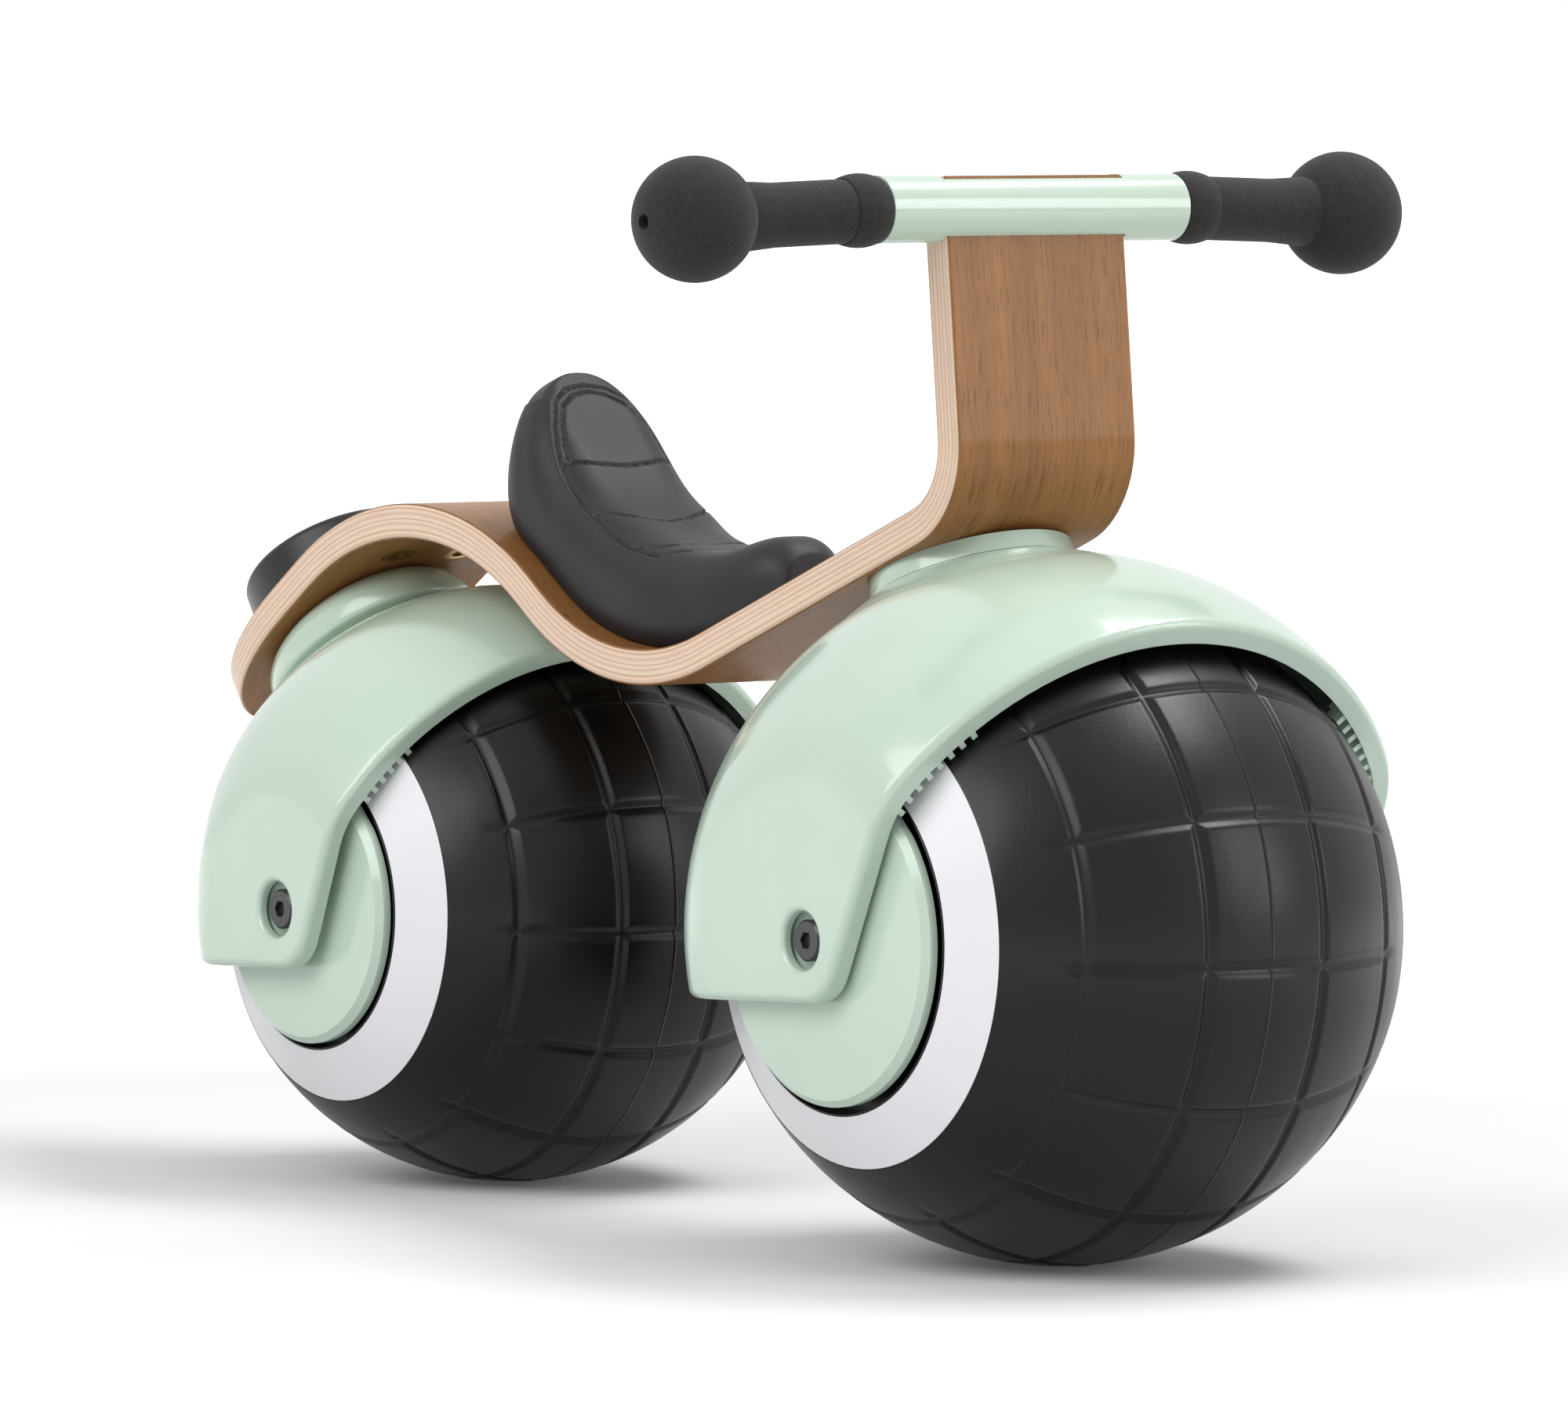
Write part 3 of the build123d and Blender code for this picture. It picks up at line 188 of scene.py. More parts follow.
class NodeSheet:
    """A node tree that is being filled in."""

    def __init__(self, tree: bpy.types.NodeTree) -> None:
        """Keeps the tree that nodes are added to."""
        self.tree = tree

    @classmethod
    def fresh(cls, owner: bpy.types.ID) -> "NodeSheet":
        """An empty sheet for a material or a world."""
        owner.use_nodes = True
        owner.node_tree.nodes.clear()
        return cls(owner.node_tree)

    def add(self, kind: str, inputs: dict | None = None, **settings: object) -> bpy.types.Node:
        """Adds one node.

        Args:
            kind: The node's type name.
            inputs: Values or sockets for its inputs, by name or number.
            settings: The node's own properties.

        Returns:
            The new node.
        """
        node = self.tree.nodes.new(kind)
        for name, value in settings.items():
            setattr(node, name, value)
        for key, value in (inputs or {}).items():
            if isinstance(value, Socket):
                self.tree.links.new(value, node.inputs[key])
            else:
                node.inputs[key].default_value = value
        return node

    def maths(self, operation: str, *values: object) -> Socket:
        """A step of arithmetic on numbers or sockets."""
        return self.add("ShaderNodeMath", dict(enumerate(values)), operation=operation).outputs[0]

    def noise(self, vector: object, scale: object, detail: float) -> Socket:
        """A smooth random value from 0 to 1."""
        inputs = {"Vector": vector, "Scale": scale, "Detail": detail}
        return self.add("ShaderNodeTexNoise", inputs).outputs[0]

    def spread(self, value: object, span: Range, result: Range = WHOLE) -> Socket:
        """A value carried from one range to another, held at the ends."""
        return self.add("ShaderNodeMapRange", dict(enumerate((value, *span, *result)))).outputs[0]

    def blend(self, share: object, first: object, second: object) -> Socket:
        """A colour between two colours."""
        return self.add("ShaderNodeMix", {0: share, 6: first, 7: second}, data_type="RGBA").outputs[2]

    def stretch(self, vector: object, scale: Sequence[float]) -> Socket:
        """A coordinate stretched along its axes."""
        return self.add("ShaderNodeMapping", {"Vector": vector, "Scale": scale}).outputs[0]

    def bands(self, value: object, stops: Iterable[tuple[float, Tone]]) -> Socket:
        """Stripes of colour along a value, with soft joins.

        Args:
            value: The value from 0 to 1.
            stops: Places along the value, and the tone at each.

        Returns:
            The colour socket.
        """
        node = self.add("ShaderNodeValToRGB", {0: value})
        ramp = node.color_ramp
        places = list(stops)
        while len(ramp.elements) < len(places):
            ramp.elements.new(1.0)
        for element, (place, tone) in zip(ramp.elements, places):
            element.position = place
            element.color = tone.linear()
        return node.outputs[0]


class Effects:
    """Node groups that several finishes share."""

    SKIN_DETAIL = 4.0
    MOTTLE_DETAIL = 5.0

    def __init__(self) -> None:
        """Builds the groups."""
        self.skin = self.build_skin()
        self.mottle = self.build_mottle()

    @staticmethod
    def start(name: str, wants: Sequence[tuple[str, str]], gives: Sequence[tuple[str, str]]) -> tuple:
        """Opens a new node group.

        Args:
            name: The group's name.
            wants: Names and socket types of its inputs.
            gives: Names and socket types of its outputs.

        Returns:
            The group, its sheet, its input node and its output node.
        """
        group = bpy.data.node_groups.new(name, "ShaderNodeTree")
        for label, kind in wants:
            group.interface.new_socket(label, in_out="INPUT", socket_type=kind)
        for label, kind in gives:
            group.interface.new_socket(label, in_out="OUTPUT", socket_type=kind)
        sheet = NodeSheet(group)
        return group, sheet, sheet.add("NodeGroupInput"), sheet.add("NodeGroupOutput")

    def build_skin(self) -> bpy.types.NodeTree:
        """A fine surface texture: its value, and the normal it makes."""
        wants = (("Vector", "NodeSocketVector"), ("Scale", "NodeSocketFloat"), ("Depth", "NodeSocketFloat"))
        gives = (("Value", "NodeSocketFloat"), ("Normal", "NodeSocketVector"))
        group, sheet, given, out = self.start("skin", wants, gives)
        value = sheet.noise(given.outputs[0], given.outputs[1], self.SKIN_DETAIL)
        bump = sheet.add("ShaderNodeBump", {"Height": value, "Distance": given.outputs[2], "Strength": 1.0})
        sheet.tree.links.new(value, out.inputs[0])
        sheet.tree.links.new(bump.outputs[0], out.inputs[1])
        return group

    def build_mottle(self) -> bpy.types.NodeTree:
        """Broad uneven patches, as one value from 0 to 1."""
        wants = (("Vector", "NodeSocketVector"), ("Scale", "NodeSocketFloat"))
        group, sheet, given, out = self.start("mottle", wants, (("Value", "NodeSocketFloat"),))
        value = sheet.noise(given.outputs[0], given.outputs[1], self.MOTTLE_DETAIL)
        sheet.tree.links.new(sheet.spread(value, NOISE_RANGE), out.inputs[0])
        return group


@dataclass(frozen=True)
class Finish:
    """A finish of one tone that wanders a little, with a fine surface texture.

    Attributes:
        tone: Its main colour.
        second: The colour it wanders towards.
        roughness: How dull it is.
        patch: Patches per metre.
        grain: Texture cells per metre.
        depth: Depth of the texture in metres.
        metal: Share of metal.
        coat: Weight of a clear coat.
        sheen: Weight of a soft sheen.
        coat_roughness: How dull the clear coat is.
        shine: Strength of the reflection at the surface.
        wander: Least and most share of the roughness.
    """

    tone: Tone
    second: Tone
    roughness: float
    patch: float = 30.0
    grain: float = 900.0
    depth: float = 0.00002
    metal: float = 0.0
    coat: float = 0.0
    sheen: float = 0.0
    coat_roughness: float = 0.04
    shine: float = 0.5
    wander: Range = (0.92, 1.08)

    def colour(self, sheet: NodeSheet, place: object, effects: Effects) -> Socket:
        """The colour at a place."""
        patches = sheet.add("ShaderNodeGroup", {0: place, 1: self.patch}, node_tree=effects.mottle)
        return sheet.blend(patches.outputs[0], self.tone.linear(), self.second.linear())

    def gloss(self, sheet: NodeSheet, skin: object) -> object:
        """The roughness, a little uneven."""
        low, high = self.wander
        return sheet.spread(skin, NOISE_RANGE, (self.roughness * low, self.roughness * high))

    def place(self, sheet: NodeSheet) -> Socket:
        """The coordinate that the textures use."""
        return sheet.add("ShaderNodeTexCoord").outputs["Object"]

    def material(self, name: str, effects: Effects) -> bpy.types.Material:
        """Builds the material.

        Args:
            name: The material's name.
            effects: The shared node groups.

        Returns:
            The new material.
        """
        made = bpy.data.materials.new(name)
        sheet = NodeSheet.fresh(made)
        place = self.place(sheet)
        skin = sheet.add("ShaderNodeGroup", {0: place, 1: self.grain, 2: self.depth}, node_tree=effects.skin)
        inputs = {
            "Base Color": self.colour(sheet, place, effects),
            "Roughness": self.gloss(sheet, skin.outputs[0]),
            "Normal": skin.outputs[1],
            "Metallic": self.metal,
            "Coat Weight": self.coat,
            "Coat Roughness": self.coat_roughness,
            "Specular IOR Level": self.shine,
            "Sheen Weight": self.sheen,
        }
        shader = sheet.add("ShaderNodeBsdfPrincipled", inputs)
        sheet.add("ShaderNodeOutputMaterial", {"Surface": shader.outputs[0]})
        return made


@dataclass(frozen=True)
class RubberFinish(Finish):
    """Moulded rubber with faint rubbed streaks, counted per metre."""

    wander: Range = (0.8, 1.25)
    streaks: float = 14.0
    stretch: Spot = (1.0, 3.0, 1.0)
    streak_detail: float = 6.0

    def gloss(self, sheet: NodeSheet, skin: object) -> object:
        """The roughness, duller in rubbed streaks."""
        place = sheet.stretch(self.place(sheet), self.stretch)
        return super().gloss(sheet, sheet.noise(place, self.streaks, self.streak_detail))


@dataclass(frozen=True)
class Grain:
    """Noise that is drawn out along the plywood strip.

    Attributes:
        cells: Cells per metre along, across and through the strip.
        detail: Levels of finer noise.
        span: The values of the noise that are used.
        result: What those values become.
    """

    cells: Spot
    detail: float
    span: Range
    result: Range = WHOLE

    def shown(self, sheet: NodeSheet, grid: object) -> Socket:
        """Its value at a place of the strip."""
        value = sheet.noise(sheet.stretch(grid, self.cells), 1.0, self.detail)
        return sheet.spread(value, self.span, self.result)


@dataclass(frozen=True)
class PlyFinish(Finish):
    """Bent plywood: veneer on the faces and layers on the edges.

    Attributes:
        wall: Thickness of the strip in metres.
        veneer: Depths, in metres, over which the face veneer gives way to the layers.
        join: Share of a layer that blends into each neighbour.
        pore: Colour of the fibres and dashes of the veneer.
        speck: Colour of the specks on the layers.
    """

    wall: float = 0.012
    veneer: Range = (0.0007, 0.0004)
    join: float = 0.25
    pore: Tone = Tone(92, 58, 30)
    speck: Tone = Tone(186, 150, 122)
    figure: Grain = Grain((6.0, 70.0, 5.0), 4.0, NOISE_RANGE)
    fibre: Grain = Grain((18.0, 900.0, 5.0), 3.0, (0.45, 0.75), (0.0, 0.3))
    dashes: Grain = Grain((90.0, 1500.0, 5.0), 2.0, (0.56, 0.68), (0.0, 0.65))
    wave: Grain = Grain((12.0, 12.0, 300.0), 2.0, WHOLE, (-0.05, 0.05))
    specks: Grain = Grain((60.0, 300.0, 1500.0), 3.0, (0.5, 0.8), (0.0, 0.35))

    def colour(self, sheet: NodeSheet, place: object, effects: Effects) -> Socket:
        """Veneer on the faces, layers where the strip is cut."""
        along = sheet.add("ShaderNodeAttribute", attribute_name="along").outputs["Fac"]
        depth = sheet.add("ShaderNodeAttribute", attribute_name="depth").outputs["Fac"]
        across = sheet.add("ShaderNodeSeparateXYZ", {0: place}).outputs[1]
        grid = sheet.add("ShaderNodeCombineXYZ", {0: along, 1: across, 2: depth}).outputs[0]
        veneer = sheet.blend(self.figure.shown(sheet, grid), self.tone.linear(), self.second.linear())
        for grain in (self.fibre, self.dashes):
            veneer = sheet.blend(grain.shown(sheet, grid), veneer, self.pore.linear())
        level = sheet.maths("ADD", sheet.maths("DIVIDE", depth, self.wall), self.wave.shown(sheet, grid))
        layers = sheet.bands(level, self.layers())
        layers = sheet.blend(self.specks.shown(sheet, grid), layers, self.speck.linear())
        middle = self.wall / 2
        inside = sheet.maths("ABSOLUTE", sheet.maths("SUBTRACT", depth, middle))
        face = sheet.spread(inside, (middle - self.veneer[0], middle - self.veneer[1]))
        return sheet.blend(face, layers, veneer)

    def layers(self) -> list[tuple[float, Tone]]:
        """The layers through the strip: where each is plain, and its tone there."""
        cream, tan, pink = Tone(226, 203, 182), Tone(203, 168, 142), Tone(214, 181, 161)
        order = (
            (cream, 1.3), (tan, 0.5), (cream, 0.9), (pink, 1.1), (cream, 1.2), (tan, 0.4),
            (cream, 1.0), (pink, 0.8), (cream, 1.5), (tan, 0.5), (cream, 0.9), (pink, 0.7), (cream, 1.1),
        )
        whole = sum(share for _, share in order)
        stops = []
        place = 0.0
        for tone, share in order:
            step = share / whole
            stops.append((place + self.join * step, tone))
            stops.append((place + (1.0 - self.join) * step, tone))
            place += step
        return stops


class Finishes:
    """Every finish of the bike, made once."""

    def __init__(self) -> None:
        """Builds one material per slot, under the slot's own name."""
        effects = Effects()
        self.made = {slot: plan.material(slot.value, effects) for slot, plan in self.plans().items()}

    @staticmethod
    def plans() -> dict[Slot, Finish]:
        """The finish of each slot."""
        mint, mint_deep = Tone(188, 207, 192), Tone(184, 204, 188)
        return {
            Slot.PLY: PlyFinish(
                Tone(162, 112, 64), Tone(138, 94, 54), 0.45,
                depth=0.00003, coat=0.25, coat_roughness=0.2, shine=0.1,
            ),
            Slot.PAINT: Finish(mint, mint_deep, 0.2, grain=250.0, depth=0.00001, coat=0.6),
            Slot.SHELL: Finish(mint, mint_deep, 0.2, grain=120.0, depth=0.00001, coat=0.25),
            Slot.FOAM: Finish(
                Tone(24, 22, 22), Tone(38, 36, 35), 0.8,
                patch=600.0, grain=2200.0, depth=0.0003, sheen=0.1, shine=0.3,
            ),
            Slot.SADDLE: Finish(
                Tone(30, 30, 33), Tone(36, 36, 38), 0.46,
                patch=60.0, grain=2600.0, depth=0.00005, shine=0.3,
            ),
            Slot.PAD: Finish(
                Tone(18, 18, 20), Tone(24, 24, 26), 0.38,
                patch=60.0, grain=1500.0, depth=0.00003, shine=0.4,
            ),
            Slot.RUBBER: RubberFinish(
                Tone(6, 6, 6), Tone(11, 11, 11), 0.31,
                patch=25.0, grain=700.0, depth=0.00004, shine=0.3,
            ),
            Slot.BAND: Finish(Tone(227, 227, 231), Tone(224, 224, 228), 0.35),
            Slot.CORE: Finish(Tone(44, 44, 46), Tone(52, 52, 54), 0.5),
            Slot.NYLON: Finish(Tone(150, 150, 148), Tone(162, 162, 160), 0.5),
            Slot.ZINC: Finish(Tone(190, 190, 192), Tone(170, 170, 174), 0.35, metal=1.0),
            Slot.BLACK: Finish(Tone(24, 24, 25), Tone(34, 34, 35), 0.35, coat=0.2),
            Slot.BRASS: Finish(Tone(206, 176, 112), Tone(184, 150, 88), 0.3, metal=1.0),
        }

    def of(self, slot: Slot) -> bpy.types.Material:
        """The material of a slot."""
        return self.made[slot]


class Workshop:
    """Puts finished meshes in place and takes copies of the part's own pieces."""

    def __init__(self, finishes: Finishes) -> None:
        """Keeps the finishes."""
        self.finishes = finishes

    @staticmethod
    def copy(node: str) -> Mesh:
        """A merged copy of one CAD node.

        Args:
            node: The node's name.

        Returns:
            A new bmesh, for the caller to free.
        """
        work = bmesh.new()
        work.from_mesh(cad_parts[node].data)
        bmesh.ops.remove_doubles(work, verts=work.verts, dist=MERGE_DISTANCE)
        bmesh.ops.dissolve_degenerate(work, edges=work.edges, dist=MERGE_DISTANCE)
        return work

    def put(
        self,
        work: Mesh,
        name: str,
        body: Body,
        slot: Slot,
        nodes: Sequence[str],
        sharp: float = 28.0,
    ) -> bpy.types.Object:
        """Turns a bmesh into a finished piece that stands for some CAD nodes.

        Args:
            work: The bmesh, which is freed.
            name: The piece's name.
            body: The body it moves with.
            slot: Its material slot.
            nodes: The CAD nodes that it stands for.
            sharp: Angle in degrees from which an edge stays sharp.

        Returns:
            The new object.
        """
        mesh = bpy.data.meshes.new(name)
        work.to_mesh(mesh)
        work.free()
        stale = mesh.attributes.get("custom_normal")
        if stale:
            mesh.attributes.remove(stale)
        mesh.shade_smooth()
        mesh.set_sharp_from_angle(angle=math.radians(sharp))
        mesh.materials.append(self.finishes.of(slot))
        piece = placed(name, mesh)
        even = piece.modifiers.new("even_normals", "WEIGHTED_NORMAL")
        even.keep_sharp = True
        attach(piece, body.value)
        if nodes:
            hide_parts(*nodes)
        log.info("%s: %d faces", name, len(mesh.polygons))
        return piece

    def paint(self, node: str, slot: Slot) -> None:
        """Gives a CAD node one of the finishes."""
        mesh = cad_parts[node].data
        mesh.materials.clear()
        mesh.materials.append(self.finishes.of(slot))


@dataclass
class PlyStrip:
    """The bent plywood strip. Corners of its top face and its bends are in millimetres."""

    corners: tuple[Point, ...] = (
        (-285.0, 159.0), (-144.07, 260.25), (-25.56, 178.80), (154.81, 251.31), (143.27, 352.56),
    )
    bends: tuple[float, ...] = (120.0, 95.5, 23.0)
    wall: float = 12.0
    slice_step: float = 7.0
    depth_weight: float = 0.01
    spare: float = 1.0

    def path(self) -> list[tuple]:
        """The runs and bends of the top face, from the tail.

        Returns:
            Runs as ("run", start, direction, length, along) and bends as
            ("bend", centre, radius, side, first direction, turn, along).
        """
        points = [Vector(corner) for corner in self.corners]
        parts: list[tuple] = []
        along = 0.0
        start = points[0]
        for corner, after, radius in zip(points[1:-1], points[2:], self.bends):
            first = (corner - start).normalized()
            second = (after - corner).normalized()
            turn = first.angle(second)
            side = 1.0 if first.x * second.y - first.y * second.x > 0 else -1.0
            reach = radius * math.tan(turn / 2)
            length = (corner - start).length - reach
            parts.append(("run", start, first, length, along))
            along += length
            entry = corner - first * reach
            centre = entry + Vector((-first.y, first.x)) * side * radius
            parts.append(("bend", centre, radius, side, first, turn, along))
            along += radius * turn
            start = corner + second * reach
        last = (points[-1] - start).normalized()
        parts.append(("run", start, last, (points[-1] - start).length, along))
        return parts

    def locate(self, parts: Sequence[tuple], spot: Vector) -> Point:
        """Where a point of the side view lies on the strip.

        Args:
            parts: The path of the top face.
            spot: The point, in millimetres.

        Returns:
            The distance along the strip and the depth below its top face.
        """
        middle = self.wall / 2
        best = (math.inf, 0.0, 0.0)
        for part in parts:
            if part[0] == "run":
                _, start, direction, length, before = part
                step = spot - start
                forward = step.dot(direction)
                depth = step.x * direction.y - step.y * direction.x
                outside = max(-forward, forward - length, 0.0)
            else:
                _, centre, radius, side, first, turn, before = part
                arm = spot - centre
                depth = (arm.length - radius) * side
                entry = Vector((first.y, -first.x)) * side
                swing = math.atan2((entry.x * arm.y - entry.y * arm.x) * side, entry.dot(arm))
                forward = swing * radius
                outside = max(-forward, forward - turn * radius, 0.0)
            off = abs(depth - middle)
            score = outside + off * self.depth_weight + max(off - middle - self.spare, 0.0)
            if score < best[0]:
                best = (score, before + forward, depth)
        return best[1], best[2]

    def build(self, shop: Workshop) -> None:
        """Dresses the strip: a sliced copy that knows how its grain runs."""
        work = shop.copy("ply_frame")
        low, high = (corner.x for corner in map(Vector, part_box("ply_frame")))
        count = int((high - low) / (self.slice_step * MM))
        for number in range(1, count):
            spot = (low + number * self.slice_step * MM, 0.0, 0.0)
            geometry = list(work.verts) + list(work.edges) + list(work.faces)
            bmesh.ops.bisect_plane(
                work, geom=geometry, dist=CUT_TOLERANCE, plane_co=spot, plane_no=(1.0, 0.0, 0.0)
            )
        parts = self.path()
        along_layer = work.verts.layers.float.new("along")
        depth_layer = work.verts.layers.float.new("depth")
        for vert in work.verts:
            along, depth = self.locate(parts, Vector((vert.co.x / MM, vert.co.z / MM)))
            vert[along_layer] = along * MM
            vert[depth_layer] = depth * MM
        shop.put(work, "ply_strip", Body.FRAME, Slot.PLY, ["ply_frame"])


@dataclass
class Guard:
    """One mudguard with its teeth and hub covers. Millimetres, from the middle of its axle.

    Attributes:
        radius: Radius of the dome.
        face: Distance of the flat arms from the middle.
        corner: Radius of the turn from the dome to the arms.
        lean: Lean of the opening, in degrees.
        forward: Distance of the opening in front of the axle.
        lip: Thickness of the rim.
        cover_chord: Height of the covers' flat top above the axle.
    """

    name: str
    body: Body
    axle: Point
    radius: float
    face: float
    corner: float
    lean: float
    forward: float
    lip: float
    teeth: int
    cover_radius: float
    cover_chord: float
    chord_lift: float = 6.0
    chord_slack: float = 0.05
    tooth_start: float = 30.2
    tooth_pitch: float = 2.5
    tooth_width: float = 2.0
    tooth_reach: float = 3.2
    tooth_root: float = 2.0
    tooth_depth: float = 6.0
    tooth_setback: float = 0.8
    search_step: float = 0.1

    def depth(self, spot: Vector) -> float:
        """How far a point lies inside the guard's outer form, measured from the axle."""
        middle_y = self.face - self.corner
        middle_r = math.sqrt((self.radius - self.corner) ** 2 - middle_y**2)
        around, side = math.hypot(spot.x, spot.z), abs(spot.y)
        if side * middle_r <= around * middle_y:
            return self.radius - spot.length
        if around >= middle_r:
            return self.corner - math.hypot(around - middle_r, side - middle_y)
        return self.face - side

    def add_teeth(self, work: Mesh) -> None:
        """Adds the short teeth behind the rim on both sides.

        Args:
            work: The guard's bmesh.
        """
        lean = math.radians(self.lean)
        out = Vector((math.cos(lean), 0.0, -math.sin(lean)))
        middle = out * (self.forward * math.cos(lean))
        across = Vector((0.0, 1.0, 0.0))
        over = out.cross(across)
        axle = in_plane(self.axle)
        back = out * (self.tooth_depth / 2 + self.tooth_setback)
        length = self.tooth_reach + self.tooth_root
        size = Matrix.Diagonal((length * MM, self.tooth_width * MM, self.tooth_depth * MM, 1.0))
        span = self.tooth_pitch * (self.teeth - 1)
        for start in (self.tooth_start, HALF_TURN_DEGREES - self.tooth_start - span):
            for number in range(self.teeth):
                angle = math.radians(start + number * self.tooth_pitch)
                ray = across * math.cos(angle) + over * math.sin(angle)
                away = self.radius
                while self.depth(middle + ray * away) < self.lip:
                    away -= self.search_step
                spot = axle + middle + ray * (away + self.tooth_root - length / 2) - back
                turn = Matrix((ray, out.cross(ray), out)).transposed().to_4x4()
                bmesh.ops.create_cube(work, size=1.0, matrix=Matrix.Translation(spot * MM) @ turn @ size)

    def lift_chord(self, work: Mesh) -> None:
        """Raises the flat top of a hub cover behind the guard's rim.

        Args:
            work: The cover's bmesh.
        """
        axle_x, axle_z = self.axle
        span = math.sqrt(self.cover_radius**2 - self.cover_chord**2)
        narrow = math.sqrt(self.cover_radius**2 - (self.cover_chord + self.chord_lift) ** 2)
        for vert in work.verts:
            if vert.co.z / MM - axle_z > self.cover_chord - self.chord_slack:
                vert.co.z += self.chord_lift * MM
                vert.co.x = axle_x * MM + (vert.co.x - axle_x * MM) * narrow / span

    def build(self, shop: Workshop) -> None:
        """Dresses the guard and its two covers."""
        work = shop.copy(f"{self.name}_mudguard")
        self.add_teeth(work)
        shop.put(work, f"{self.name}_mudguard_shell", self.body, Slot.SHELL, [f"{self.name}_mudguard"])
        for side in SIDES:
            node = f"{self.name}_cover_{side}"
            work = shop.copy(node)
            self.lift_chord(work)
            shop.put(work, f"{node}_shell", self.body, Slot.SHELL, [node])


@dataclass
class Neck:
    """The flared neck between the head collar and the front guard. Millimetres."""

    axle: Point = FRONT_AXLE
    slope: float = 21.9
    height: float = 126.64
    setback: float = 4.0
    dome: float = FRONT_DOME
    top: float = -6.5
    inner: float = 35.2
    outer: float = 54.0
    power: float = 1.5
    edge_sink: float = 0.25
    edge_power: float = 8.0
    rings: int = 20
    steps: int = 96
    sharp: float = 60.0

    def drop(self, arm: Vector) -> float:
        """Height of the guard's dome above the flat ring, at a place from the dome's top."""
        return math.sqrt(self.dome**2 - arm.length_squared) - self.height

    def build(self, shop: Workshop) -> None:
        """Spins a flat ring and bends it down onto the guard."""
        along, up = tilted(self.slope)
        back = along * self.setback
        root = in_plane(self.axle) + up * self.height - back
        run = self.outer - self.inner
        row = [(root + along * (self.inner + run * i / self.rings)) * MM for i in range(self.rings + 1)]
        work = spun(row, False, root * MM, up, self.steps)
        for vert in work.verts:
            arm = vert.co / MM - root
            away = arm.length
            first = self.top - self.drop(arm * (self.inner / away) - back)
            share = clamped(1.0 - (away - self.inner) / run)
            rise = first * share**self.power - self.edge_sink * (1.0 - share) ** self.edge_power
            vert.co += up * ((self.drop(arm - back) + rise) * MM)
        bmesh.ops.recalc_face_normals(work, faces=work.faces)
        shop.put(work, "front_neck", Body.FORK, Slot.SHELL, [], self.sharp)


@dataclass
class RearCollar:
    """The oval puck under the tail, in millimetres.

    Each corner of its outline is a share of half its length and a depth below the strip.
    """

    place: Point = (-224.0, 188.06)
    slope: float = 35.7
    half_length: float = 44.4
    half_width: float = 34.8
    outline: tuple[Point, ...] = (
        (0.2, 0.1), (0.8, 0.1), (0.86, 1.6), (0.93, 4.0), (0.975, 6.6), (0.995, 9.0), (1.0, 11.0),
        (1.0, 13.6), (0.993, 14.9), (0.975, 15.7), (0.94, 16.0), (0.8, 17.6), (0.2, 17.6),
    )
    steps: int = 128
    sharp: float = 50.0

    def build(self, shop: Workshop) -> None:
        """Spins the outline and presses it to an oval."""
        along, up = tilted(self.slope)
        root = in_plane(self.place)
        row = [(root + along * share * self.half_length - up * low) * MM for share, low in self.outline]
        work = spun(row, True, root * MM, up, self.steps)
        for vert in work.verts:
            vert.co.y *= self.half_width / self.half_length
        bmesh.ops.recalc_face_normals(work, faces=work.faces)
        shop.put(work, "rear_collar_puck", Body.FRAME, Slot.SHELL, ["rear_collar"], self.sharp)


@dataclass
class Copies:
    """Pieces that show a smooth copy of their solid, each named after its node with an ending."""

    nodes: tuple[str, ...]
    ending: str
    slot: Slot
    body: Body = Body.FRAME

    def build(self, shop: Workshop) -> None:
        """Dresses each piece."""
        for node in self.nodes:
            shop.put(shop.copy(node), f"{node}_{self.ending}", self.body, self.slot, [node])


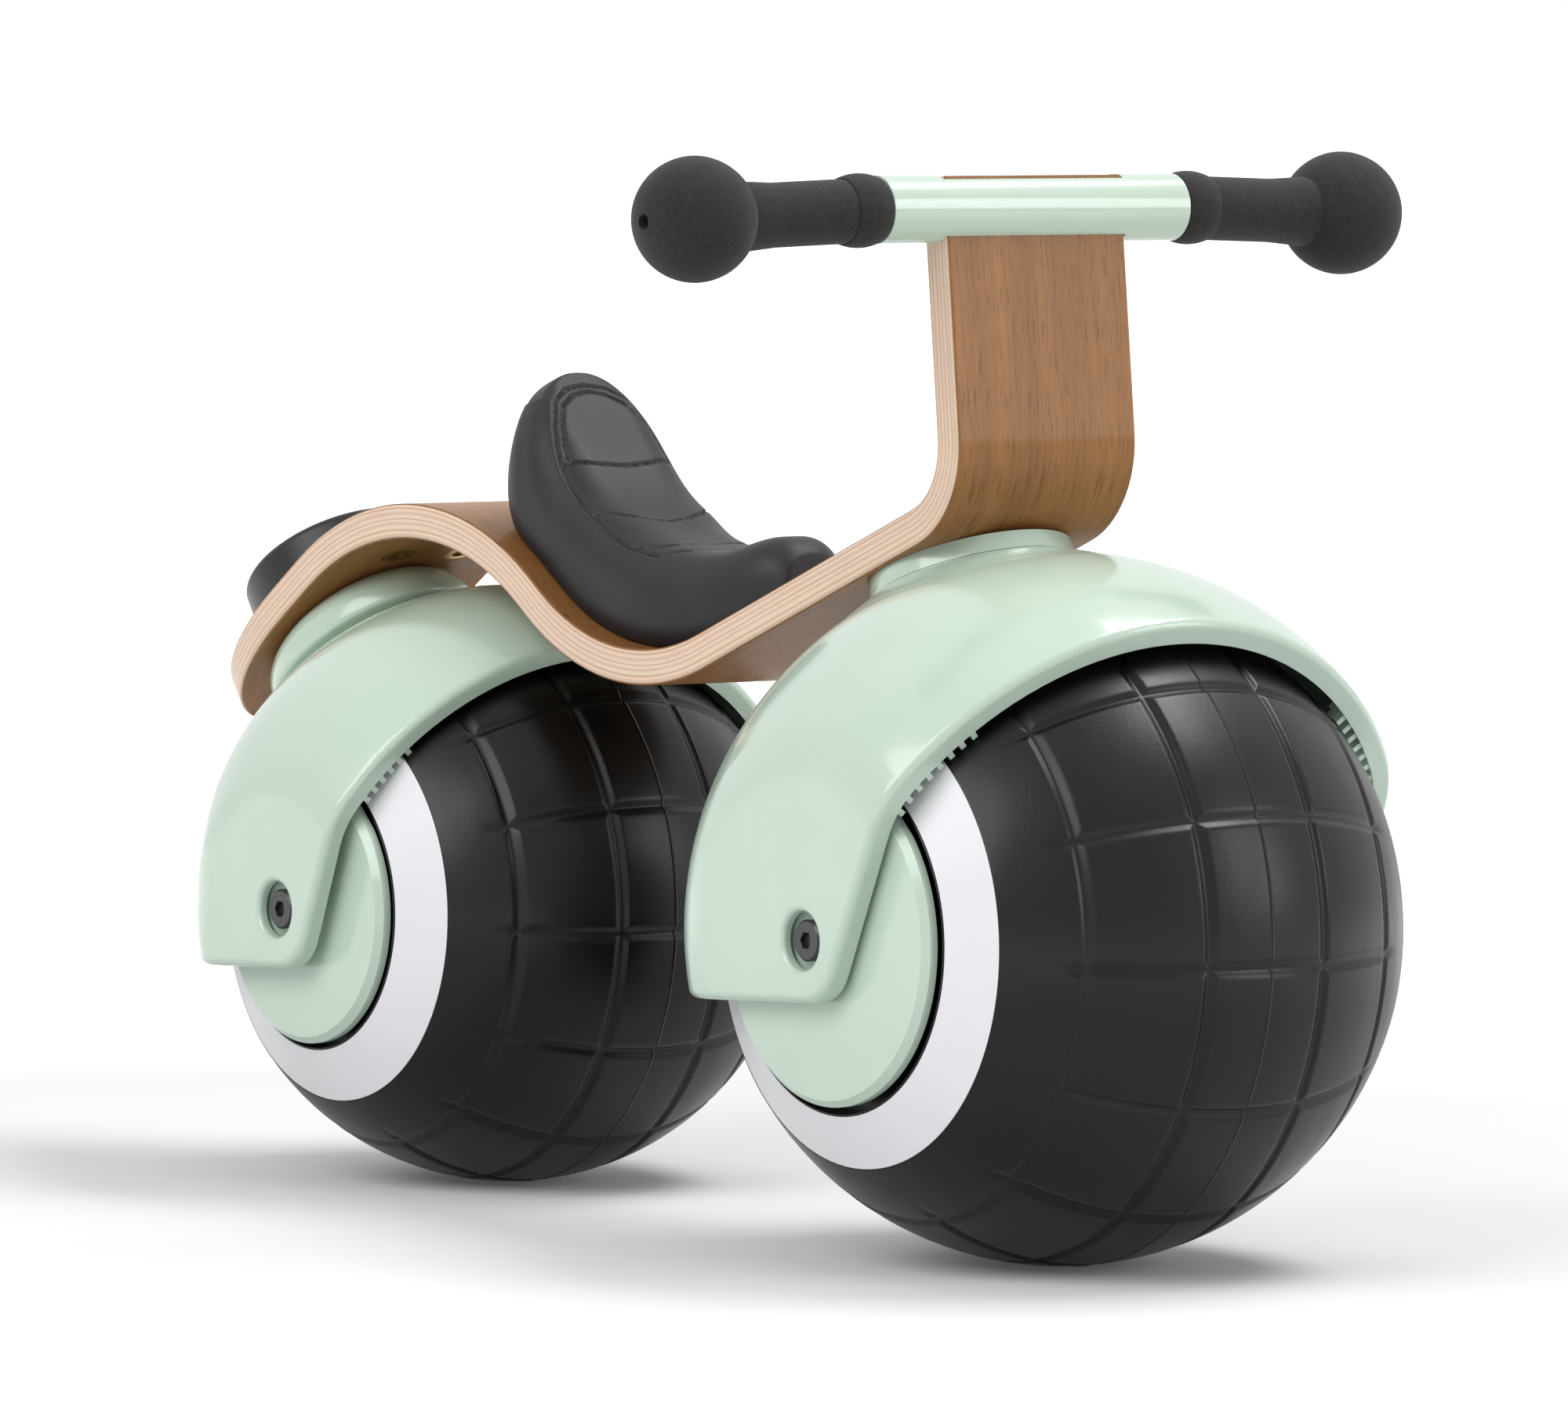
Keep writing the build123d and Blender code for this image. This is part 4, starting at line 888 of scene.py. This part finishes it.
@dataclass
class BallWheel:
    """One ball wheel. Sizes are in millimetres, from the middle of its axle.

    Attributes:
        axle: Place of the axle in the side view, one radius above the floor.
        shift: How far the arc of the tread is centred beyond the axle.
        band_radius: Radius at which the tread ends.
        rim_rise: How far the rim stands out from there.
        rim_radius: Radius of the rim round the hub.
    """

    name: str
    body: Body
    axle: Point
    shift: float
    band_radius: float
    rim_rise: float
    rim_radius: float
    web_depth: float = 9.5
    core_radius: float = 20.0
    band_wall: float = 1.5
    band_margin: float = 0.8
    ring_angles: tuple[float, ...] = (11.7, 32.0)
    groove_half: float = 2.9
    groove_depth: float = 1.2
    groove_rows: int = 6
    groove_parts: int = 5
    seam_half: float = 0.6
    seam_height: float = 0.25
    seam_rows: int = 4
    seam_parts: int = 3
    meridians: int = 14
    first_meridian: float = 23.0
    meridian_end: float = 36.0
    end_fade: float = 3.0
    columns: int = 36
    gather: float = 1.7
    coarse_step: float = 3.0
    least_step: float = 0.15
    edge_slack: float = 0.0001
    rim_slack: float = 0.001
    sharp: float = 40.0

    @property
    def radius(self) -> float:
        """Radius of the ball at its middle."""
        return self.axle[1]

    @property
    def arc(self) -> float:
        """Radius of the tread's own arc."""
        return self.radius + self.shift

    def crown(self, y: float) -> float:
        """Radius of the tread at a distance from its middle."""
        return math.sqrt(self.arc**2 - y * y) - self.shift

    def band_edge(self) -> float:
        """Distance from the middle at which the band starts."""
        return math.sqrt(self.arc**2 - (self.band_radius + self.shift) ** 2)

    def stations(self) -> list[float]:
        """Distances from the middle of the rows of the tread, closer together by the grooves."""
        edge = self.band_edge()
        places = {0.0, edge}
        places.update(number * self.coarse_step for number in range(1, int(edge / self.coarse_step)))
        for angle in self.ring_angles:
            ring = self.arc * math.sin(math.radians(angle))
            for number in range(-self.groove_rows, self.groove_rows + 1):
                places.add(ring + number * self.groove_half / self.groove_parts)
        places.update(number * self.seam_half / self.seam_parts for number in range(1, self.seam_rows + 1))
        half = sorted(place for place in places if place <= edge)
        kept = [half[0]]
        for place in half[1:]:
            if place - kept[-1] > self.least_step:
                kept.append(place)
        return [-place for place in reversed(kept[1:])] + kept

    def side(self) -> list[Point]:
        """Radius and distance of the corners beside the tread, down to the core."""
        edge = self.band_edge()
        rim_edge = edge + self.rim_rise
        run = math.hypot(self.rim_rise, self.band_radius - self.rim_radius)
        along = ((self.rim_radius - self.band_radius) / run, self.rim_rise / run)
        inward = (-along[1], along[0])
        corners = []
        for distance, depth in (
            (self.band_margin, 0.0),
            (self.band_margin, -self.band_wall),
            (run - self.band_margin, -self.band_wall),
            (run - self.band_margin, 0.0),
        ):
            radius = self.band_radius + along[0] * distance - inward[0] * depth
            corners.append((radius, edge + along[1] * distance - abs(inward[1]) * abs(depth)))
        web = rim_edge - self.web_depth
        return corners + [(self.rim_radius, rim_edge), (self.rim_radius, web), (self.core_radius, web)]

    def outline(self) -> list[Point]:
        """Closed outline of the ball as radius and distance from the middle."""
        tread = [(self.crown(y), y) for y in self.stations()]
        side = self.side()
        return tread + side + [(radius, -y) for radius, y in reversed(side)]

    def groove(self, offset: float) -> float:
        """Share of the groove's depth at an offset from its middle."""
        return ease(1.0 - min(abs(offset) / self.groove_half, 1.0))

    def sink(self, swing: float, y: float) -> float:
        """How far the tread is sunk at a place.

        Args:
            swing: Angle round the axle from the nearest meridian, in radians.
            y: Distance from the middle.

        Returns:
            The depth in millimetres, below zero on the seam.
        """
        tilt = abs(math.degrees(math.asin(y / self.arc)))
        depth = max(self.groove(math.radians(tilt - ring) * self.arc) for ring in self.ring_angles)
        reach = clamped((self.meridian_end - tilt) / self.end_fade)
        depth = max(depth, self.groove(swing * self.crown(y)) * reach)
        seam = max(1.0 - abs(y) / self.seam_half, 0.0) * self.seam_height
        return depth * self.groove_depth - seam

    def build(self, shop: Workshop) -> None:
        """Spins the ball, presses in its grooves and dresses the bands."""
        axle = in_plane(self.axle) * MM
        row = [axle + Vector((radius, y, 0.0)) * MM for radius, y in self.outline()]
        work = spun(row, True, axle, Vector((0.0, 1.0, 0.0)), self.meridians * self.columns)
        self.press(work, axle)
        bmesh.ops.recalc_face_normals(work, faces=work.faces)
        shop.put(work, f"{self.name}_ball_skin", self.body, Slot.RUBBER, [f"{self.name}_ball"], self.sharp)
        bands = tuple(f"{self.name}_band_{side}" for side in SIDES)
        Copies(bands, "ring", Slot.BAND, self.body).build(shop)

    def press(self, work: Mesh, axle: Vector) -> None:
        """Gathers the columns at the meridians and sinks every groove.

        Args:
            work: The spun ball.
            axle: The middle of the axle.
        """
        sector = ROUND_TURN / self.meridians
        limit = self.band_edge() + self.edge_slack
        inner = self.band_radius - self.rim_slack
        first = math.radians(self.first_meridian)
        for vert in work.verts:
            arm = vert.co - axle
            radius = math.hypot(arm.x, arm.z)
            turn = math.atan2(arm.z, arm.x) / sector
            share = turn - round(turn)
            packed = math.copysign(0.5 * abs(2 * share) ** self.gather, share)
            angle = (round(turn) + packed) * sector + first
            y = arm.y / MM
            if abs(y) < limit and radius / MM > inner:
                radius -= self.sink(packed * sector, y) * MM
            vert.co = axle + Vector((radius * math.cos(angle), arm.y, radius * math.sin(angle)))


@dataclass
class Saddle:
    """The moulded saddle. Sizes are in millimetres.

    The top line runs forward from the crest in the side view. The panel lines are given as distance along it
    and distance from the middle.
    """

    voxel: float = 0.8
    relax: int = 5
    relax_share: float = 0.5
    line_half: float = 0.9
    line_depth: float = 0.95
    line_reach: float = 9.0
    line_facing: float = 0.25
    least_rise: float = 0.1
    crest: Point = (-97.36, 280.10)
    crest_way: Point = (-0.342, 0.94)
    crest_radius: float = 20.7
    crest_reach: float = 9.0
    crest_relax: int = 6
    fill_height: float = 3.6
    fill_half: float = 27.0
    fill_power: int = 3
    fill_depth: float = 16.0
    fill_middle: float = 64.0
    fill_span: float = 34.0
    fill_from: float = -90.0
    fill_to: float = 20.0
    sharp: float = 60.0
    top_line: tuple[Point, ...] = (
        (-97.36, 280.10), (-93.86, 276.10), (-87.36, 269.60), (-75.36, 256.60), (-61.86, 244.10),
        (-46.36, 234.60), (-28.86, 227.60), (-10.86, 224.10), (11.14, 226.10), (26.14, 230.10),
        (38.14, 224.60),
    )
    lines: tuple[tuple[Point, ...], ...] = (
        (
            (5.9, 0.0), (7.5, 8.0), (12.4, 15.3), (22.4, 19.7), (30.4, 21.9), (37.5, 23.2),
            (62.0, 24.5), (84.0, 23.5), (98.8, 21.6), (106.0, 14.0), (108.0, 0.0),
        ),
        ((8.8, 0.0), (10.4, 6.6), (14.8, 12.9), (23.0, 17.4), (30.7, 19.6), (38.2, 21.0)),
        ((38.2, 22.8), (41.0, 12.0), (42.3, 0.0)),
        ((62.1, 24.5), (69.0, 16.0), (73.0, 8.2), (74.5, 0.0)),
        ((84.0, 23.5), (93.0, 19.0), (98.0, 13.0), (99.0, 0.0)),
    )

    @staticmethod
    def nearest(spot: Vector, line: Sequence[Point]) -> tuple[float, float, Vector]:
        """The nearest place on a line.

        Args:
            spot: The point to start from.
            line: The corners of the line.

        Returns:
            Distance to the line, distance along it, and its direction there.
        """
        best = (math.inf, 0.0, Vector((1.0, 0.0)))
        before = 0.0
        for start, end in zip(line, line[1:]):
            step = Vector(end) - Vector(start)
            share = clamped((spot - Vector(start)).dot(step) / step.length_squared)
            gap = (spot - Vector(start) - step * share).length
            if gap < best[0]:
                best = (gap, before + share * step.length, step.normalized())
            before += step.length
        return best

    def even_out(self, work: Mesh, verts: Iterable[bmesh.types.BMVert], rounds: int) -> None:
        """Moves points towards their neighbours.

        Args:
            work: The dense saddle.
            verts: The points.
            rounds: How often they move.
        """
        axes = {"use_axis_x": True, "use_axis_y": True, "use_axis_z": True}
        for _ in range(rounds):
            bmesh.ops.smooth_vert(work, verts=verts, factor=self.relax_share, **axes)

    def dense(self, shop: Workshop) -> Mesh:
        """An even, relaxed copy of the saddle's solid."""
        coarse = bpy.data.meshes.new("saddle_coarse")
        work = shop.copy("seat")
        work.to_mesh(coarse)
        work.free()
        holder = placed("saddle_coarse", coarse)
        even = holder.modifiers.new("even", "REMESH")
        even.mode = "VOXEL"
        even.voxel_size = self.voxel * MM
        graph = bpy.context.evaluated_depsgraph_get()
        result = bpy.data.meshes.new_from_object(holder.evaluated_get(graph))
        work = bmesh.new()
        work.from_mesh(result)
        bpy.data.objects.remove(holder)
        bpy.data.meshes.remove(result)
        self.even_out(work, work.verts, self.relax)
        self.fill_sides(work)
        return work

    def fill_sides(self, work: Mesh) -> None:
        """Fills out the two long edges of the back.

        Args:
            work: The dense saddle.
        """
        for vert in work.verts:
            if vert.normal.z < 0.0 or not self.fill_from < vert.co.x / MM < self.fill_to:
                continue
            gap, along, way = self.nearest(Vector((vert.co.x, vert.co.z)) / MM, self.top_line)
            near = max(1.0 - gap / self.fill_depth, 0.0)
            side = min(abs(vert.co.y) / MM / self.fill_half, 1.0)
            full = max(1.0 - abs(along - self.fill_middle) / self.fill_span, 0.0)
            rise = self.fill_height * near * side**self.fill_power * ease(full)
            vert.co += Vector((-way.y, 0.0, way.x)) * (rise * MM)

    def round_crest(self, work: Mesh) -> None:
        """Rounds the flat end of the solid at the crest and relaxes what lies round it.

        Args:
            work: The dense saddle.
        """
        way = in_plane(self.crest_way)
        start = in_plane(self.crest) * MM
        near = []
        for vert in work.verts:
            below = (start - vert.co).dot(way) / MM
            if below < self.crest_reach:
                near.append(vert)
                span = min(abs(vert.co.y) / MM, self.crest_radius)
                dome = self.crest_radius - math.sqrt(self.crest_radius**2 - span**2)
                vert.co -= way * (max(dome - below, 0.0) * MM)
        self.even_out(work, near, self.crest_relax)

    def build(self, shop: Workshop) -> None:
        """Dresses the saddle and presses its panel lines in."""
        work = self.dense(shop)
        self.round_crest(work)
        work.normal_update()
        moves = []
        for vert in work.verts:
            if vert.normal.z < self.least_rise:
                continue
            spot = Vector((vert.co.x, vert.co.z)) / MM
            gap, along, way = self.nearest(spot, self.top_line)
            upward = Vector((-way.y, 0.0, way.x))
            if gap > self.line_reach or vert.normal.dot(upward) < self.line_facing:
                continue
            place = Vector((along, abs(vert.co.y) / MM))
            close = min(self.nearest(place, line)[0] for line in self.lines)
            if close < self.line_half:
                moves.append((vert, ease(1.0 - close / self.line_half) * self.line_depth * MM))
        for vert, depth in moves:
            vert.co -= vert.normal * depth
        bmesh.ops.recalc_face_normals(work, faces=work.faces)
        piece = shop.put(work, "saddle", Body.FRAME, Slot.SADDLE, ["seat"], self.sharp)


@dataclass
class Fittings:
    """Bolts, nuts, bushes and axles, which keep their CAD shape."""

    groups: tuple[tuple[Slot, tuple[str, ...]], ...] = (
        (Slot.BLACK, ("front_axle_bolts", "rear_axle_bolts")),
        (Slot.BRASS, ("accessory_inserts",)),
        (Slot.NYLON, ("front_bushes", "rear_bushes", "steer_bush")),
        (Slot.CORE, ("front_core", "rear_core")),
        (Slot.ZINC, ("bar_screws", "collar_screws", "front_axle", "rear_axle")),
        (Slot.ZINC, ("rear_mount_bolt", "rear_mount_nut", "seat_bolts", "seat_nuts", "seat_washers")),
        (Slot.ZINC, ("steer_bolt", "steer_nut", "steer_stop")),
    )

    def build(self, shop: Workshop) -> None:
        """Gives every fitting its finish."""
        for slot, nodes in self.groups:
            for node in nodes:
                shop.paint(node, slot)
                log.info("%s: %s", node, slot.value)


@dataclass(frozen=True)
class Lamp:
    """A soft box: where it stands, what it faces, its size and its strength."""

    name: str
    place: Spot
    facing: Spot
    width: float
    height: float
    power: float

    def build(self) -> None:
        """Puts the lamp up."""
        data = bpy.data.lights.new(self.name, "AREA")
        data.shape = "RECTANGLE"
        data.size = self.width
        data.size_y = self.height
        data.energy = self.power
        lamp = placed(self.name, data)
        lamp.location = self.place
        way = Vector(self.facing) - Vector(self.place)
        lamp.rotation_euler = way.to_track_quat("-Z", "Y").to_euler()


@dataclass
class Studio:
    """White studio: floor, surround, lamps and camera. Lengths in metres, angles in degrees."""

    azimuth: float = 53.39
    elevation: float = 3.78
    roll: float = 0.65
    distance: float = 4.3339
    target: Spot = (0.01814, 0.0, 0.17365)
    sensor: float = 36.0
    lens: float = 297.6
    shift: Point = (0.0053, -0.00135)
    clip_end: float = 100.0
    floor_half: float = 12.0
    floor_tone: Tone = Tone(229, 229, 229)
    floor_lift: float = 0.06
    floor_fade: Range = (0.5, 1.4)
    surround: Range = (0.35, 0.6)
    lamps: tuple[Lamp, ...] = (
        Lamp("top_box", (0.42, 0.8, 1.98), (0.2, 0.0, 0.15), width=1.3, height=0.7, power=23.0),
        Lamp("left_box", (0.3, -1.9, 1.5), (0.0, 0.0, 0.15), width=1.8, height=1.4, power=31.0),
        Lamp("right_box", (2.2, 1.4, 1.0), (0.1, 0.0, 0.2), width=0.8, height=1.2, power=13.0),
    )

    def camera_axes(self) -> tuple[Vector, Vector, Vector]:
        """The camera's right, up and backward directions."""
        az, el, roll = (math.radians(a) for a in (self.azimuth, self.elevation, self.roll))
        back = Vector((math.sin(az) * math.cos(el), -math.cos(az) * math.cos(el), math.sin(el)))
        right = Vector((math.cos(az), math.sin(az), 0.0))
        up = back.cross(right)
        turned = right * math.cos(roll) + up * math.sin(roll)
        return turned, up * math.cos(roll) - right * math.sin(roll), back

    def build_camera(self) -> None:
        """Sets the camera at the photo's place."""
        right, up, back = self.camera_axes()
        data = bpy.data.cameras.new("camera")
        data.sensor_fit = "HORIZONTAL"
        data.sensor_width = self.sensor
        data.lens = self.lens
        data.shift_x, data.shift_y = self.shift
        data.clip_end = self.clip_end
        camera = placed("camera", data)
        turn = Matrix((right, up, back)).transposed().to_4x4()
        camera.matrix_world = Matrix.Translation(Vector(self.target) + back * self.distance) @ turn
        bpy.context.scene.camera = camera

    @staticmethod
    def shown(sheet: NodeSheet) -> Socket:
        """1 for rays that show the background: straight, in a reflection or through glass."""
        path = sheet.add("ShaderNodeLightPath").outputs
        mirrored = sheet.maths("MAXIMUM", path["Is Glossy Ray"], path["Is Transmission Ray"])
        return sheet.maths("MAXIMUM", path["Is Camera Ray"], mirrored)

    def build_floor(self) -> None:
        """Lays a pale floor that keeps the shadow near the part and turns white further off."""
        work = bmesh.new()
        bmesh.ops.create_grid(work, x_segments=1, y_segments=1, size=self.floor_half)
        mesh = bpy.data.meshes.new("floor")
        work.to_mesh(mesh)
        work.free()
        made = bpy.data.materials.new("floor")
        sheet = NodeSheet.fresh(made)
        place = sheet.add("ShaderNodeTexCoord").outputs["Object"]
        away = sheet.add("ShaderNodeVectorMath", {0: place}, operation="LENGTH").outputs["Value"]
        lift = sheet.spread(away, self.floor_fade, (self.floor_lift, 1.0))
        seen = self.shown(sheet)
        matt = sheet.add("ShaderNodeBsdfDiffuse", {"Color": self.floor_tone.linear()})
        glow = sheet.add("ShaderNodeEmission", {"Strength": sheet.maths("MULTIPLY", lift, seen)})
        both = sheet.add("ShaderNodeAddShader", {0: matt.outputs[0], 1: glow.outputs[0]})
        sheet.add("ShaderNodeOutputMaterial", {"Surface": both.outputs[0]})
        mesh.materials.append(made)
        floor = placed("floor", mesh)

    def build_surround(self) -> None:
        """Makes the surround white where it is seen, and softer for the light, brighter upward."""
        world = bpy.data.worlds.new("surround")
        sheet = NodeSheet.fresh(world)
        seen = self.shown(sheet)
        way = sheet.add("ShaderNodeTexCoord").outputs["Generated"]
        climb = sheet.add("ShaderNodeSeparateXYZ", {0: way}).outputs[2]
        strength = sheet.maths("MAXIMUM", sheet.spread(climb, WHOLE, self.surround), seen)
        glow = sheet.add("ShaderNodeBackground", {"Color": (1.0, 1.0, 1.0, 1.0), "Strength": strength})
        sheet.add("ShaderNodeOutputWorld", {"Surface": glow.outputs[0]})
        bpy.context.scene.world = world

    def build(self) -> None:
        """Sets up the whole studio."""
        self.build_floor()
        self.build_surround()
        for lamp in self.lamps:
            lamp.build()
        self.build_camera()
        bpy.context.scene.view_settings.view_transform = "Standard"
        log.info("studio ready")


def main() -> None:
    """Builds every piece in order, then the studio."""
    shop = Workshop(Finishes())
    PlyStrip().build(shop)
    Copies(("handlebar_tube", "head_collar"), "shell", Slot.PAINT).build(shop)
    Guard(
        name="front", body=Body.FORK, axle=FRONT_AXLE, radius=FRONT_DOME, face=106.0, corner=35.0,
        lean=23.8, forward=21.0, lip=7.5, teeth=8, cover_radius=54.0, cover_chord=38.0,
    ).build(shop)
    Guard(
        name="rear", body=Body.FRAME, axle=REAR_AXLE, radius=108.0, face=98.2, corner=30.0, lean=20.9,
        forward=21.0, lip=6.5, teeth=6, cover_radius=46.2, cover_chord=30.7,
    ).build(shop)
    Neck().build(shop)
    RearCollar().build(shop)
    BallWheel(
        name="front", body=Body.FRONT_WHEEL, axle=FRONT_AXLE, shift=4.3, band_radius=75.12,
        rim_rise=9.3, rim_radius=56.4,
    ).build(shop)
    BallWheel(
        name="rear", body=Body.REAR_WHEEL, axle=REAR_AXLE, shift=3.8, band_radius=67.01, rim_rise=9.9,
        rim_radius=47.9,
    ).build(shop)
    Saddle().build(shop)
    Copies(("grip_left", "grip_right"), "foam", Slot.FOAM).build(shop)
    Copies(("tail_pad",), "cap", Slot.PAD).build(shop)
    Fittings().build(shop)
    Studio().build()


if __name__ == "__main__":
    main()
